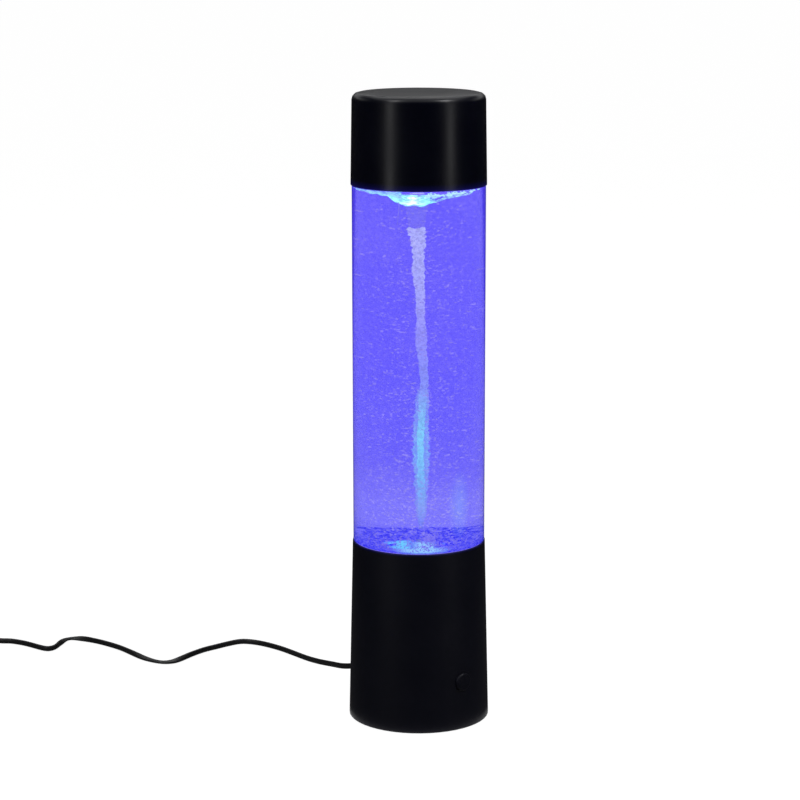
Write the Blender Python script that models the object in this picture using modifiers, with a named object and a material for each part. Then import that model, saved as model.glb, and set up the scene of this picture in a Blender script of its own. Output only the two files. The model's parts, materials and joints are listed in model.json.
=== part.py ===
"""A water vortex table lamp: a clear water tank between a black base and a black cap.

A motor in the base turns a magnet carrier, which drags an impeller round in the tank and pulls the water
into a vortex. A ring of LEDs under the clear tank floor lights it. Lengths are in metres, +Z is up,
the origin is on the table under the lamp's axis, the button faces -Y and the cord leaves at +Y.
"""

import math

import bmesh
import bpy
from mathutils import Matrix, Vector

# Fits and mesh settings
SEAT_GAP = 0.0003
CUT_OVERRUN = 0.001
CUTTER_TURN = math.radians(7)
MERGE_DISTANCE = 0.00001
SHARP_ANGLE = math.radians(32)
BODY_STEPS = 48
INNER_STEPS = 32
DRIVE_STEPS = 24
SMALL_STEPS = 16
SCREW_STEPS = 10
FILLET_STEPS = 3
CURVE_STEPS = 20

# Heights, from the table up
FOOT_STAND = 0.0004
BASE_HEIGHT = 0.0969
WINDOW_HEIGHT = 0.1896
CAP_HEIGHT = 0.0475
NECK_HEIGHT = 0.0140
SPIGOT_HEIGHT = 0.0090
WATER_BELOW_CAP = 0.0035

# Tank
TUBE_RADIUS = 0.0350
TUBE_WALL = 0.0030
NECK_WALL = 0.0015
TUBE_FILLET = 0.0004
FLOOR_BELOW_RIM = 0.0006
FLOOR_THICKNESS = 0.0030
FLOOR_FLANGE_HEIGHT = 0.0030
SKIRT_WALL = 0.0030
SEAL_SECTION = 0.0014
SEAL_STEPS = 6
SEAL_BELOW_FACE = 0.0040
WELL_RADIUS = 0.0120
WELL_DEPTH = 0.0070
WELL_WALL = 0.0015
PILLAR_RADIUS = 0.0032
PILLAR_HEIGHT = 0.0107
PILLAR_INSET = 0.0052
PILLAR_HOLE_DEPTH = 0.0070
PILLAR_ANGLES = (90, 210, 330)

# Tank lid and filler plug
LID_THICKNESS = 0.0025
LID_SKIRT_DEPTH = 0.0090
FILLER_RADIUS = 0.0080
COLLAR_WALL = 0.0020
COLLAR_HEIGHT = 0.0022
PLUG_HEAD_OVERHANG = 0.0005
PLUG_HEAD_HEIGHT = 0.0025
PLUG_DEPTH = 0.0070
PLUG_TAPER = 0.0006
PLUG_TAB = (0.0080, 0.0018, 0.0040)
PLUG_FILLET = 0.0006

# Vortex: shares of its depth, of its mouth radius and of its widest sway
VORTEX_MOUTH_RADIUS = 0.0072
VORTEX_SWAY = 0.0027
VORTEX_SWAY_ANGLE = math.radians(-39)
VORTEX_TIP_CLEARANCE = 0.0036
VORTEX_SIDES = 10
VORTEX_DEPTH_SHARES = (0.0, 0.03, 0.06, 0.10, 0.14, 0.20, 0.26, 0.32, 0.41, 0.50, 0.54, 0.62, 0.71, 0.83, 0.92, 1.0)
VORTEX_RADIUS_SHARES = (1.0, 0.86, 0.70, 0.50, 0.38, 0.30, 0.26, 0.24, 0.23, 0.24, 0.25, 0.24, 0.23, 0.22, 0.18, 0.10)
VORTEX_SWAY_SHARES = (0.0, 0.0, -0.1, -0.25, -0.34, -0.2, -0.02, 0.1, 0.26, 0.70, 1.0, 0.70, 0.41, 0.26, 0.5, 0.41)

# Base housing
BASE_RIM_PROUD = 0.00035
BASE_FOOT_RADIUS = 0.0376
BASE_WALL = 0.0022
BASE_FILLET = 0.0004
RIM_FILLET = 0.0005
LEDGE_PAST_SCREWS = 0.0021
LEDGE_HEIGHT = 0.0030
BOSS_RADIUS = 0.0034
BOSS_HEIGHT = 0.0120
BOSS_STANDOFF = 0.0020
BOSS_RIB_WIDTH = 0.0024
BOSS_RIB_SETBACK = 0.0010
BOSS_HOLE_DEPTH = 0.0090
BOSS_ANGLES = (30, 150, 270)

# Cap
CAP_EDGE_PROUD = 0.0006
CAP_TAPER = 0.0007
CAP_TOP_FILLET = 0.0035
CAP_WALL = 0.0022
CAP_TOP_THICKNESS = 0.0024
CAP_RIB_COUNT = 6
CAP_RIB_THICKNESS = 0.0015
CAP_RIB_REACH = 0.0045
CAP_RIB_HEIGHT = 0.0240

# Bottom cover and feet
COVER_THICKNESS = 0.0024
COVER_RECESS = 0.0004
COVER_CLEARANCE = 0.0004
FOOT_RADIUS = 0.0050
FOOT_HEIGHT = 0.0020
FOOT_FILLET = 0.0004
FOOT_INSET = 0.0126
FOOT_ANGLES = (90, 210, 330)

# Screws
SCREW_RADIUS = 0.0011
SCREW_HEAD_RADIUS = 0.0024
SCREW_HEAD_HEIGHT = 0.0014
SCREW_SLOT_WIDTH = 0.0007
SCREW_SLOT_DEPTH = 0.0006
COVER_SCREW_LENGTH = 0.0090
BRACKET_SCREW_LENGTH = 0.0140
MOTOR_SCREW_LENGTH = 0.0040
SEAT_SCREW_LENGTH = 0.0055
SEAT_SCREW_CLEARANCE = 0.000307
SEAT_SCREW_ANGLES = (30, 150, 270)

# Impeller and magnetic drive
IMPELLER_RADIUS = 0.0105
IMPELLER_DISC = 0.0032
IMPELLER_HUB_RADIUS = 0.0030
VANE_HEIGHT = 0.0045
VANE_THICKNESS = 0.0012
VANE_COUNT = 5
VANE_POINTS = 4
VANE_SWEEP = math.radians(55)
PIN_RADIUS = 0.0010
PIN_SOCKET_DEPTH = 0.0010
PIN_PROUD = 0.0010
WELL_BOSS_RADIUS = 0.0025
WELL_BOSS_HEIGHT = 0.0013
MAGNET_RADIUS = 0.0025
MAGNET_HEIGHT = 0.0024
MAGNET_CIRCLE = 0.0065
MAGNET_ANGLES = (0, 180)
COUPLING_GAP = 0.0007
CARRIER_DISC = 0.0040
CARRIER_HUB_RADIUS = 0.0032
CARRIER_HUB_HEIGHT = 0.0055
CARRIER_BORE_ROOF = 0.0017

# Motor and its bracket
MOTOR_RADIUS = 0.0122
MOTOR_HEIGHT = 0.0125
MOTOR_FILLET = 0.0010
MOTOR_BOSS_RADIUS = 0.0035
MOTOR_BOSS_HEIGHT = 0.0018
MOTOR_TAIL_RADIUS = 0.0050
MOTOR_TAIL_HEIGHT = 0.0010
MOTOR_SHAFT_DEPTH = 0.0030
MOTOR_SCREW_CIRCLE = 0.0080
MOTOR_SCREW_ANGLES = (0, 180)
MOTOR_SCREW_BITE = 0.0025
BRACKET_THICKNESS = 0.0020
BRACKET_RADIUS = 0.0140
BRACKET_ARM_WIDTH = 0.0076
STANDOFF_HEIGHT = 0.0053

# Circuit boards
PCB_THICKNESS = 0.0016
LED_BOARD_CLEARANCE = 0.0015
LED_BOARD_RING = 0.0130
LED_INSET = 0.0075
LED_SIZE = (0.0050, 0.0050, 0.0016)
LED_FILLET = 0.0005
LED_COUNT = 6
CONTROL_WIDTH = 0.0316
CONTROL_HEIGHT = 0.0360
CONTROL_FOOT = 0.0004
GUIDE_WIDTH = 0.0050
GUIDE_DEPTH = 0.0060
GUIDE_HEIGHT = 0.0280
GUIDE_GRIP = 0.0018
CHIP_SIZE = (0.0060, 0.0016, 0.0050)
CHIP_ABOVE_COVER = 0.0180
SOCKET_SIZE = (0.0080, 0.0040, 0.0050)
SOCKET_OFFSET = 0.0060
SOCKET_BELOW_EDGE = 0.0070

# Button and switch, inwards along the button's axis
BUTTON_Z = 0.0263
BUTTON_RADIUS = 0.00475
BUTTON_PROUD = 0.0012
BUTTON_FILLET = 0.0007
BUTTON_DISH = 0.0003
BUTTON_FLANGE_RADIUS = 0.0060
BUTTON_FLANGE_THICKNESS = 0.0012
BUTTON_STEM_RADIUS = 0.0020
BUTTON_STEM_LENGTH = 0.0025
BUTTON_TRAVEL = 0.0006
PLUNGER_RADIUS = 0.0016
PLUNGER_LENGTH = 0.0018
PLUNGER_ENGAGED = 0.0006
SWITCH_WIDTH = 0.0062
SWITCH_DEPTH = 0.0036

# Cord, strain relief, coil and plug
CORD_DIAMETER = 0.0032
CORD_POINT_SPACING = 0.0075
CORD_EXIT_Z = 0.0144
LEAD_RADIUS = 0.0007
LEAD_POINT_SPACING = 0.0040
RELIEF_FLANGE_RADIUS = 0.0046
RELIEF_FLANGE_THICKNESS = 0.0015
RELIEF_NECK_RADIUS = 0.0029
RELIEF_COLLAR_RADIUS = 0.0042
RELIEF_COLLAR_THICKNESS = 0.0016
RELIEF_TIP_RADIUS = 0.0022
RELIEF_LENGTH = 0.0100
RELIEF_RIB_COUNT = 3
RELIEF_GROOVE_DEPTH = 0.0004
# The floor stretch of the cord, chosen by hand, from the strain relief to the coil
CORD_ROUTE = (
    (0.0000, 0.0530, 0.0133),
    (0.0001, 0.0590, 0.0114),
    (0.0006, 0.0690, 0.0088),
    (0.0022, 0.0820, 0.0065),
    (0.0036, 0.0959, 0.0043),
    (0.0054, 0.1099, 0.0026),
    (0.0067, 0.1236, 0.0018),
    (0.0066, 0.1352, 0.00165),
    (0.0052, 0.1453, 0.00165),
    (0.0028, 0.1540, 0.00165),
    (-0.0010, 0.1606, 0.00165),
    (-0.0050, 0.1632, 0.00165),
    (-0.0120, 0.1637, 0.00165),
    (-0.0208, 0.1633, 0.00165),
    (-0.0295, 0.1628, 0.00165),
    (-0.0396, 0.1605, 0.00165),
    (-0.0500, 0.1573, 0.00165),
    (-0.0560, 0.1567, 0.00165),
    (-0.0604, 0.1592, 0.00165),
    (-0.0632, 0.1645, 0.00165),
    (-0.0650, 0.1730, 0.00165),
    (-0.0656, 0.1846, 0.00165),
    (-0.0659, 0.1965, 0.00165),
    (-0.0674, 0.2077, 0.00165),
    (-0.0697, 0.2173, 0.00165),
    (-0.0727, 0.2263, 0.00165),
    (-0.0764, 0.2325, 0.00165),
    (-0.0812, 0.2331, 0.00165),
    (-0.0884, 0.2275, 0.00165),
    (-0.0950, 0.2222, 0.00165),
    (-0.0996, 0.2218, 0.00165),
    (-0.1018, 0.2262, 0.00165),
    (-0.1032, 0.2330, 0.00165),
    (-0.1052, 0.2410, 0.00165),
    (-0.1088, 0.2488, 0.00165),
    (-0.1136, 0.2536, 0.00165),
    (-0.1175, 0.2614, 0.00175),
    (-0.1207, 0.2702, 0.00205),
)
COIL_CENTRE = (-0.1512, 0.2678)
COIL_START_ANGLE = math.radians(51)
COIL_TURNS = 10.25
COIL_MIDDLE_RADIUS = 0.0173
COIL_GAP = 0.0005
COIL_POINTS = 24
COIL_REVERSE_ROUNDING = math.radians(40)
COIL_TAIL = 0.0260
COIL_TAIL_POINTS = 6
COIL_TAIL_LEVEL_SHARE = 0.35
FLOOR_CLEARANCE = 0.00005
TIE_THICKNESS = 0.0006
TIE_WIDTH = 0.0050
TIE_ANGLE = math.radians(276)
PLUG_BODY_SIZE = (0.0240, 0.0140, 0.0074)
PLUG_BODY_FILLET = 0.0016
PLUG_NECK_LENGTH = 0.0060
PLUG_NECK_RADII = (0.0022, 0.0031)
PLUG_SHELL_SIZE = (0.0120, 0.0120, 0.0045)
PLUG_SHELL_WALL = 0.0004
PLUG_WINDOW = 0.0022
PLUG_WINDOW_OFFSET = 0.0030
PLUG_TONGUE_THICKNESS = 0.0016
PLUG_TONGUE_SETBACK = 0.0008

# Heights and radii that follow from the sizes above
BASE_EDGE_Z = FOOT_STAND
BASE_RIM_Z = BASE_EDGE_Z + BASE_HEIGHT
SHOULDER_LOW_Z = BASE_RIM_Z + SEAT_GAP
SHOULDER_HIGH_Z = SHOULDER_LOW_Z + WINDOW_HEIGHT
CAP_EDGE_Z = SHOULDER_HIGH_Z + SEAT_GAP
CAP_TOP_Z = CAP_EDGE_Z + CAP_HEIGHT
NECK_TOP_Z = SHOULDER_HIGH_Z + NECK_HEIGHT
SPIGOT_END_Z = SHOULDER_LOW_Z - SPIGOT_HEIGHT
TUBE_BORE = TUBE_RADIUS - TUBE_WALL
NECK_RADIUS = TUBE_BORE + NECK_WALL
NECK_SOCKET = NECK_RADIUS + SEAT_GAP
STOPPER_RADIUS = TUBE_BORE - SEAT_GAP
SKIRT_BORE = STOPPER_RADIUS - SKIRT_WALL
BASE_RIM_RADIUS = TUBE_RADIUS + BASE_RIM_PROUD
CAP_EDGE_RADIUS = TUBE_RADIUS + CAP_EDGE_PROUD
CAP_TOP_RADIUS = CAP_EDGE_RADIUS - CAP_TAPER
PILLAR_CIRCLE = SKIRT_BORE - PILLAR_INSET
FOOT_CIRCLE = BASE_FOOT_RADIUS - FOOT_INSET
FLOOR_TOP_Z = BASE_RIM_Z - FLOOR_BELOW_RIM
FLOOR_UNDER_Z = FLOOR_TOP_Z - FLOOR_THICKNESS
FLANGE_TOP_Z = SPIGOT_END_Z - SEAT_GAP
FLANGE_UNDER_Z = FLANGE_TOP_Z - FLOOR_FLANGE_HEIGHT
LEDGE_TOP_Z = FLANGE_UNDER_Z - SEAT_GAP
LEDGE_UNDER_Z = LEDGE_TOP_Z - LEDGE_HEIGHT
WELL_FLOOR_Z = FLOOR_TOP_Z - WELL_DEPTH
WELL_UNDER_Z = WELL_FLOOR_Z - WELL_WALL
WELL_BOSS_TOP_Z = WELL_FLOOR_Z + WELL_BOSS_HEIGHT
IMPELLER_UNDER_Z = WELL_BOSS_TOP_Z + SEAT_GAP
IMPELLER_DISC_TOP_Z = IMPELLER_UNDER_Z + IMPELLER_DISC
IMPELLER_TOP_Z = IMPELLER_DISC_TOP_Z + VANE_HEIGHT
PIN_TOP_Z = IMPELLER_TOP_Z + PIN_PROUD
PIN_BORE = PIN_RADIUS + SEAT_GAP
MAGNET_POCKET = MAGNET_RADIUS + SEAT_GAP
MAGNET_POCKET_DEPTH = MAGNET_HEIGHT + SEAT_GAP
CARRIER_TOP_Z = WELL_UNDER_Z - COUPLING_GAP
CARRIER_DISC_UNDER_Z = CARRIER_TOP_Z - CARRIER_DISC
CARRIER_UNDER_Z = CARRIER_DISC_UNDER_Z - CARRIER_HUB_HEIGHT
CARRIER_BORE_TOP_Z = CARRIER_TOP_Z - CARRIER_BORE_ROOF
SHAFT_TOP_Z = CARRIER_BORE_TOP_Z - SEAT_GAP
PILLAR_END_Z = FLOOR_UNDER_Z - PILLAR_HEIGHT
LED_BOARD_TOP_Z = PILLAR_END_Z - SEAT_GAP
LED_BOARD_UNDER_Z = LED_BOARD_TOP_Z - PCB_THICKNESS
STANDOFF_TOP_Z = LED_BOARD_UNDER_Z - SEAT_GAP
BRACKET_TOP_Z = STANDOFF_TOP_Z - STANDOFF_HEIGHT
BRACKET_UNDER_Z = BRACKET_TOP_Z - BRACKET_THICKNESS
MOTOR_TOP_Z = BRACKET_UNDER_Z - SEAT_GAP
MOTOR_UNDER_Z = MOTOR_TOP_Z - MOTOR_HEIGHT
SCREW_HOLE = SCREW_RADIUS + SEAT_GAP
WATER_TOP_Z = CAP_EDGE_Z - WATER_BELOW_CAP
WATER_UNDER_Z = FLOOR_TOP_Z + SEAT_GAP
LID_UNDER_Z = NECK_TOP_Z + SEAT_GAP
LID_TOP_Z = LID_UNDER_Z + LID_THICKNESS
COLLAR_TOP_Z = LID_TOP_Z + COLLAR_HEIGHT
COLLAR_RADIUS = FILLER_RADIUS + COLLAR_WALL
PLUG_HEAD_UNDER_Z = COLLAR_TOP_Z + SEAT_GAP
CAP_STEP_Z = LID_TOP_Z + SEAT_GAP
CAP_UNDER_TOP_Z = CAP_TOP_Z - CAP_TOP_THICKNESS
CAP_BORE = CAP_TOP_RADIUS - CAP_WALL
COVER_UNDER_Z = BASE_EDGE_Z + COVER_RECESS
COVER_TOP_Z = COVER_UNDER_Z + COVER_THICKNESS
BOSS_UNDER_Z = COVER_TOP_Z + SEAT_GAP
CONTROL_TOP_Z = COVER_TOP_Z + CONTROL_FOOT + CONTROL_HEIGHT
COIL_PITCH = CORD_DIAMETER + COIL_GAP
COIL_INNER_RADIUS = COIL_MIDDLE_RADIUS - COIL_PITCH * COIL_TURNS / 4
COIL_OUTER_RADIUS = COIL_MIDDLE_RADIUS + COIL_PITCH * COIL_TURNS / 4
COIL_LOW_Z = FLOOR_CLEARANCE + TIE_THICKNESS + SEAT_GAP + CORD_DIAMETER / 2
COIL_HIGH_Z = COIL_LOW_Z + COIL_PITCH
PLUG_AXIS_Z = FLOOR_CLEARANCE + PLUG_BODY_SIZE[2] / 2


def base_radius(height):
    """Outer radius of the base shell, which widens steadily towards the table."""
    share = (BASE_RIM_Z - height) / BASE_HEIGHT
    return BASE_RIM_RADIUS + (BASE_FOOT_RADIUS - BASE_RIM_RADIUS) * share


BASE_EDGE_BORE = base_radius(BASE_EDGE_Z) - BASE_WALL
BOSS_CIRCLE = BASE_EDGE_BORE - BOSS_RADIUS - BOSS_STANDOFF
SEAT_SCREW_CIRCLE = base_radius(LEDGE_UNDER_Z) - BASE_WALL - SCREW_HEAD_RADIUS - SEAT_SCREW_CLEARANCE
LEDGE_RADIUS = SEAT_SCREW_CIRCLE - LEDGE_PAST_SCREWS
LED_BOARD_RADIUS = LEDGE_RADIUS - LED_BOARD_CLEARANCE
LED_BOARD_HOLE = LED_BOARD_RADIUS - LED_BOARD_RING
LED_CIRCLE = LED_BOARD_RADIUS - LED_INSET
COVER_RADIUS = base_radius(COVER_TOP_Z) - BASE_WALL - COVER_CLEARANCE
BUTTON_FACE_REACH = base_radius(BUTTON_Z) + BUTTON_PROUD
WALL_AT_FLANGE = base_radius(BUTTON_Z + BUTTON_FLANGE_RADIUS) - BASE_WALL
BUTTON_FLANGE_REACH = math.sqrt(WALL_AT_FLANGE**2 - BUTTON_FLANGE_RADIUS**2) - SEAT_GAP
BUTTON_STEM_REACH = BUTTON_FLANGE_REACH - BUTTON_FLANGE_THICKNESS
BUTTON_END_REACH = BUTTON_STEM_REACH - BUTTON_STEM_LENGTH
PLUNGER_FRONT_REACH = BUTTON_END_REACH - SEAT_GAP
PLUNGER_END_REACH = PLUNGER_FRONT_REACH - PLUNGER_LENGTH
SWITCH_FRONT_REACH = PLUNGER_END_REACH + PLUNGER_ENGAGED
SWITCH_END_REACH = SWITCH_FRONT_REACH - SWITCH_DEPTH
CONTROL_FRONT_REACH = SWITCH_END_REACH - SEAT_GAP
CONTROL_END_REACH = CONTROL_FRONT_REACH - PCB_THICKNESS
RELIEF_WALL_REACH = base_radius(CORD_EXIT_Z) + SEAT_GAP
WALL_AT_RELIEF = base_radius(CORD_EXIT_Z + RELIEF_FLANGE_RADIUS) - BASE_WALL
RELIEF_FLANGE_REACH = math.sqrt(WALL_AT_RELIEF**2 - RELIEF_FLANGE_RADIUS**2) - SEAT_GAP
RELIEF_INNER_REACH = RELIEF_FLANGE_REACH - RELIEF_FLANGE_THICKNESS
RELIEF_TIP_REACH = RELIEF_WALL_REACH + RELIEF_LENGTH


# Scene, materials and modelling helpers
def clear_scene():
    for obj in list(bpy.data.objects):
        bpy.data.objects.remove(obj, do_unlink=True)


def new_collection(name):
    collection = bpy.data.collections.new(name)
    bpy.context.scene.collection.children.link(collection)
    return collection


def new_material(name, color, roughness, metallic=0.0, transmission=0.0, glow=None):
    material = bpy.data.materials.new(name)
    material.use_nodes = True
    shader = material.node_tree.nodes["Principled BSDF"]
    shader.inputs["Base Color"].default_value = (*color, 1.0)
    shader.inputs["Roughness"].default_value = roughness
    shader.inputs["Metallic"].default_value = metallic
    shader.inputs["Transmission Weight"].default_value = transmission
    if glow:
        shader.inputs["Emission Color"].default_value = (*glow, 1.0)
        shader.inputs["Emission Strength"].default_value = 1.0
    return material


clear_scene()
LAMP = new_collection("vortex_lamp")
CUTTERS = new_collection("cutters")

BLACK_PLASTIC = new_material("black_plastic", (0.012, 0.012, 0.015), 0.42)
DARK_PLASTIC = new_material("dark_plastic", (0.02, 0.02, 0.022), 0.55)
CLEAR_PLASTIC = new_material("clear_plastic", (0.95, 0.96, 1.0), 0.03, transmission=1.0)
WHITE_PLASTIC = new_material("white_plastic", (0.85, 0.86, 0.88), 0.35)
WATER = new_material("water", (0.30, 0.26, 1.0), 0.0, transmission=1.0, glow=(0.15, 0.11, 1.0))
RUBBER = new_material("rubber", (0.025, 0.025, 0.025), 0.8)
SILICONE = new_material("silicone", (0.75, 0.76, 0.78), 0.5)
STEEL = new_material("steel", (0.62, 0.63, 0.65), 0.3, metallic=1.0)
MAGNET_PLATE = new_material("magnet_plate", (0.72, 0.72, 0.74), 0.2, metallic=1.0)
PCB_WHITE = new_material("pcb_white", (0.82, 0.83, 0.80), 0.4)
PCB_GREEN = new_material("pcb_green", (0.02, 0.16, 0.06), 0.4)
LED_LENS = new_material("led_lens", (0.55, 0.60, 1.0), 0.3, glow=(0.25, 0.35, 1.0))
CORD_PLASTIC = new_material("cord_plastic", (0.012, 0.012, 0.013), 0.45)


def add_object(name, data, collection, material=None):
    obj = bpy.data.objects.new(name, data)
    collection.objects.link(obj)
    if material:
        obj.data.materials.append(material)
    if collection is CUTTERS:
        obj.hide_render = True
        obj.display_type = "WIRE"
    return obj


def arc(centre, radius, start, end, steps=FILLET_STEPS):
    """Points of an outline's rounded corner, from one angle in degrees to another."""
    angles = (math.radians(start + (end - start) * i / steps) for i in range(steps + 1))
    return [(centre[0] + radius * math.cos(a), centre[1] + radius * math.sin(a)) for a in angles]


def turned(name, outline, material=None, steps=BODY_STEPS, collection=LAMP):
    """A solid of revolution about Z. The outline of (radius, height) runs down its outer side."""
    mesh = bpy.data.meshes.new(name)
    edges = [(i, i + 1) for i in range(len(outline) - 1)]
    if outline[0][0] > 0:
        edges.append((len(outline) - 1, 0))
    mesh.from_pydata([(radius, 0, height) for radius, height in outline], edges, [])
    obj = add_object(name, mesh, collection, material)
    screw = obj.modifiers.new("turn", "SCREW")
    screw.steps = steps
    screw.render_steps = steps
    screw.use_merge_vertices = True
    screw.merge_threshold = MERGE_DISTANCE
    return obj


def disc(name, radius, low, high, material=None, steps=SMALL_STEPS, collection=LAMP, at=(0, 0)):
    """A plain upright cylinder between two heights."""
    mesh = bpy.data.meshes.new(name)
    shape = bmesh.new()
    bmesh.ops.create_cone(
        shape,
        cap_ends=True,
        segments=steps,
        radius1=radius,
        radius2=radius,
        depth=high - low,
        matrix=Matrix.Translation((0, 0, (low + high) / 2)),
    )
    shape.to_mesh(mesh)
    shape.free()
    obj = add_object(name, mesh, collection, material)
    obj.location = (at[0], at[1], 0)
    return obj


def block(name, size, centre, material=None, collection=LAMP, fillet=0, rounds=1, turn=0):
    """A box of a given size about a centre, with its edges rounded where a fillet is given."""
    mesh = bpy.data.meshes.new(name)
    shape = bmesh.new()
    bmesh.ops.create_cube(shape, size=1, matrix=Matrix.Diagonal((*size, 1)))
    shape.to_mesh(mesh)
    shape.free()
    obj = add_object(name, mesh, collection, material)
    obj.location = centre
    obj.rotation_euler = (0, 0, turn)
    if fillet:
        bevel = obj.modifiers.new("edges", "BEVEL")
        bevel.width = fillet
        bevel.segments = rounds
    return obj


def boolean(obj, operand, operation):
    modifier = obj.modifiers.new(operation.lower(), "BOOLEAN")
    modifier.operation = operation
    modifier.solver = "EXACT"
    modifier.object = operand


def cut(obj, cutter):
    boolean(obj, cutter, "DIFFERENCE")


def join(obj, addition):
    boolean(obj, addition, "UNION")


def helper_disc(name, radius, low, high, at=(0, 0), steps=SMALL_STEPS):
    """A round cutter or addition, turned a little so that its corners meet no other piece's corners."""
    obj = disc(name, radius, low, high, steps=steps, collection=CUTTERS, at=at)
    obj.rotation_euler = (0, 0, CUTTER_TURN)
    return obj


def helper_block(name, size, centre, turn=0):
    return block(name, size, centre, collection=CUTTERS, turn=turn)


def cut_hole(obj, radius, low, high, at=(0, 0), steps=SMALL_STEPS):
    cut(obj, helper_disc(obj.name + "_hole", radius, low, high, at, steps))


def around(radius, degrees):
    """A place on a circle about the lamp's axis."""
    angle = math.radians(degrees)
    return (radius * math.cos(angle), radius * math.sin(angle))


def settle(obj):
    """Applies an object's modifiers and shades it smooth between its sharp edges."""
    bpy.context.view_layer.update()
    graph = bpy.context.evaluated_depsgraph_get()
    mesh = bpy.data.meshes.new_from_object(obj.evaluated_get(graph))
    obj.modifiers.clear()
    obj.data = mesh
    mesh.name = obj.name
    mesh.shade_smooth()
    mesh.set_sharp_from_angle(angle=SHARP_ANGLE)
    return obj


def lay_towards_front(obj, height):
    """Lays down a piece that was made upright: its top faces -Y and it keeps its turn about its own axis."""
    obj.location = (0, 0, height)
    obj.rotation_euler = (math.radians(90), -obj.rotation_euler.z, 0)
    return obj


def lay_towards_back(obj, height):
    """Lays down a piece that was made upright: its top faces +Y and it keeps its turn about its own axis."""
    obj.location = (0, 0, height)
    obj.rotation_euler = (math.radians(-90), obj.rotation_euler.z, 0)
    return obj


def screw(name, length, seat_height, at, points_up=True):
    """A slotted screw whose head bears on seat_height and whose shank runs up or down from there."""
    way = 1 if points_up else -1
    head_far = -way * SCREW_HEAD_HEIGHT
    outline = [
        (0, head_far),
        (SCREW_HEAD_RADIUS, head_far),
        (SCREW_HEAD_RADIUS, 0),
        (SCREW_RADIUS, 0),
        (SCREW_RADIUS, way * length),
        (0, way * length),
    ]
    if points_up:
        outline.reverse()
    obj = turned(name, outline, STEEL, SCREW_STEPS)
    slot = helper_block(
        name + "_slot",
        (SCREW_HEAD_RADIUS * 2 + CUT_OVERRUN, SCREW_SLOT_WIDTH, SCREW_SLOT_DEPTH * 2),
        (at[0], at[1], seat_height + head_far),
    )
    obj.location = (at[0], at[1], seat_height)
    cut(obj, slot)
    return settle(obj)


def smooth_points(route, spacing):
    """Even points along a Catmull-Rom curve through the route's points."""
    ends = [2 * Vector(route[0]) - Vector(route[1]), 2 * Vector(route[-1]) - Vector(route[-2])]
    knots = [ends[0], *map(Vector, route), ends[1]]
    fine = []
    for a, b, c, d in zip(knots, knots[1:], knots[2:], knots[3:]):
        for i in range(CURVE_STEPS):
            t = i / CURVE_STEPS
            fine.append(
                0.5 * (2 * b + (c - a) * t + (2 * a - 5 * b + 4 * c - d) * t**2 + (3 * b - a - 3 * c + d) * t**3)
            )
    fine.append(Vector(route[-1]))
    reach = [0]
    for a, b in zip(fine, fine[1:]):
        reach.append(reach[-1] + (b - a).length)
    count = max(2, round(reach[-1] / spacing))
    points = []
    index = 0
    for step in range(count):
        wanted = reach[-1] * step / count
        while reach[index + 1] < wanted:
            index += 1
        share = (wanted - reach[index]) / (reach[index + 1] - reach[index])
        points.append(fine[index].lerp(fine[index + 1], share))
    return [*points, fine[-1]]


def tube(name, points, radius, material=None, rings=2, radii=None, collection=LAMP):
    """A round tube along points, as a curve with filled ends made into a welded mesh."""
    curve = bpy.data.curves.new(name, "CURVE")
    curve.dimensions = "3D"
    curve.bevel_depth = radius
    curve.bevel_resolution = rings
    curve.use_fill_caps = True
    spline = curve.splines.new("POLY")
    spline.points.add(len(points) - 1)
    for i, point in enumerate(points):
        spline.points[i].co = (*point, 1)
        spline.points[i].radius = radii[i] if radii else 1
    source = bpy.data.objects.new(name + "_path", curve)
    LAMP.objects.link(source)
    return welded_from_curve(name, source, material, collection)


def welded_from_curve(name, source, material, collection=LAMP):
    """Replaces a curve object by its mesh, with the caps welded to the sides."""
    bpy.context.view_layer.update()
    graph = bpy.context.evaluated_depsgraph_get()
    mesh = bpy.data.meshes.new_from_object(source.evaluated_get(graph))
    shape = bmesh.new()
    shape.from_mesh(mesh)
    bmesh.ops.remove_doubles(shape, verts=shape.verts, dist=MERGE_DISTANCE)
    bmesh.ops.recalc_face_normals(shape, faces=shape.faces)
    shape.to_mesh(mesh)
    shape.free()
    obj = add_object(name, mesh, collection)
    obj.data.materials.clear()
    obj.data.materials.append(material)
    obj.matrix_world = source.matrix_world
    bpy.data.objects.remove(source, do_unlink=True)
    mesh.shade_smooth()
    mesh.set_sharp_from_angle(angle=SHARP_ANGLE)
    return obj


def flat_plate(name, loops, thickness, material=None, collection=LAMP):
    """A plate cut to a flat outline, with any further loops as holes, about the plane z = 0."""
    curve = bpy.data.curves.new(name, "CURVE")
    curve.dimensions = "2D"
    curve.fill_mode = "BOTH"
    curve.extrude = thickness / 2
    for loop in loops:
        spline = curve.splines.new("POLY")
        spline.points.add(len(loop) - 1)
        for i, (x, y) in enumerate(loop):
            spline.points[i].co = (x, y, 0, 1)
        spline.use_cyclic_u = True
    source = bpy.data.objects.new(name + "_outline", curve)
    LAMP.objects.link(source)
    return welded_from_curve(name, source, material, collection)


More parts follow.
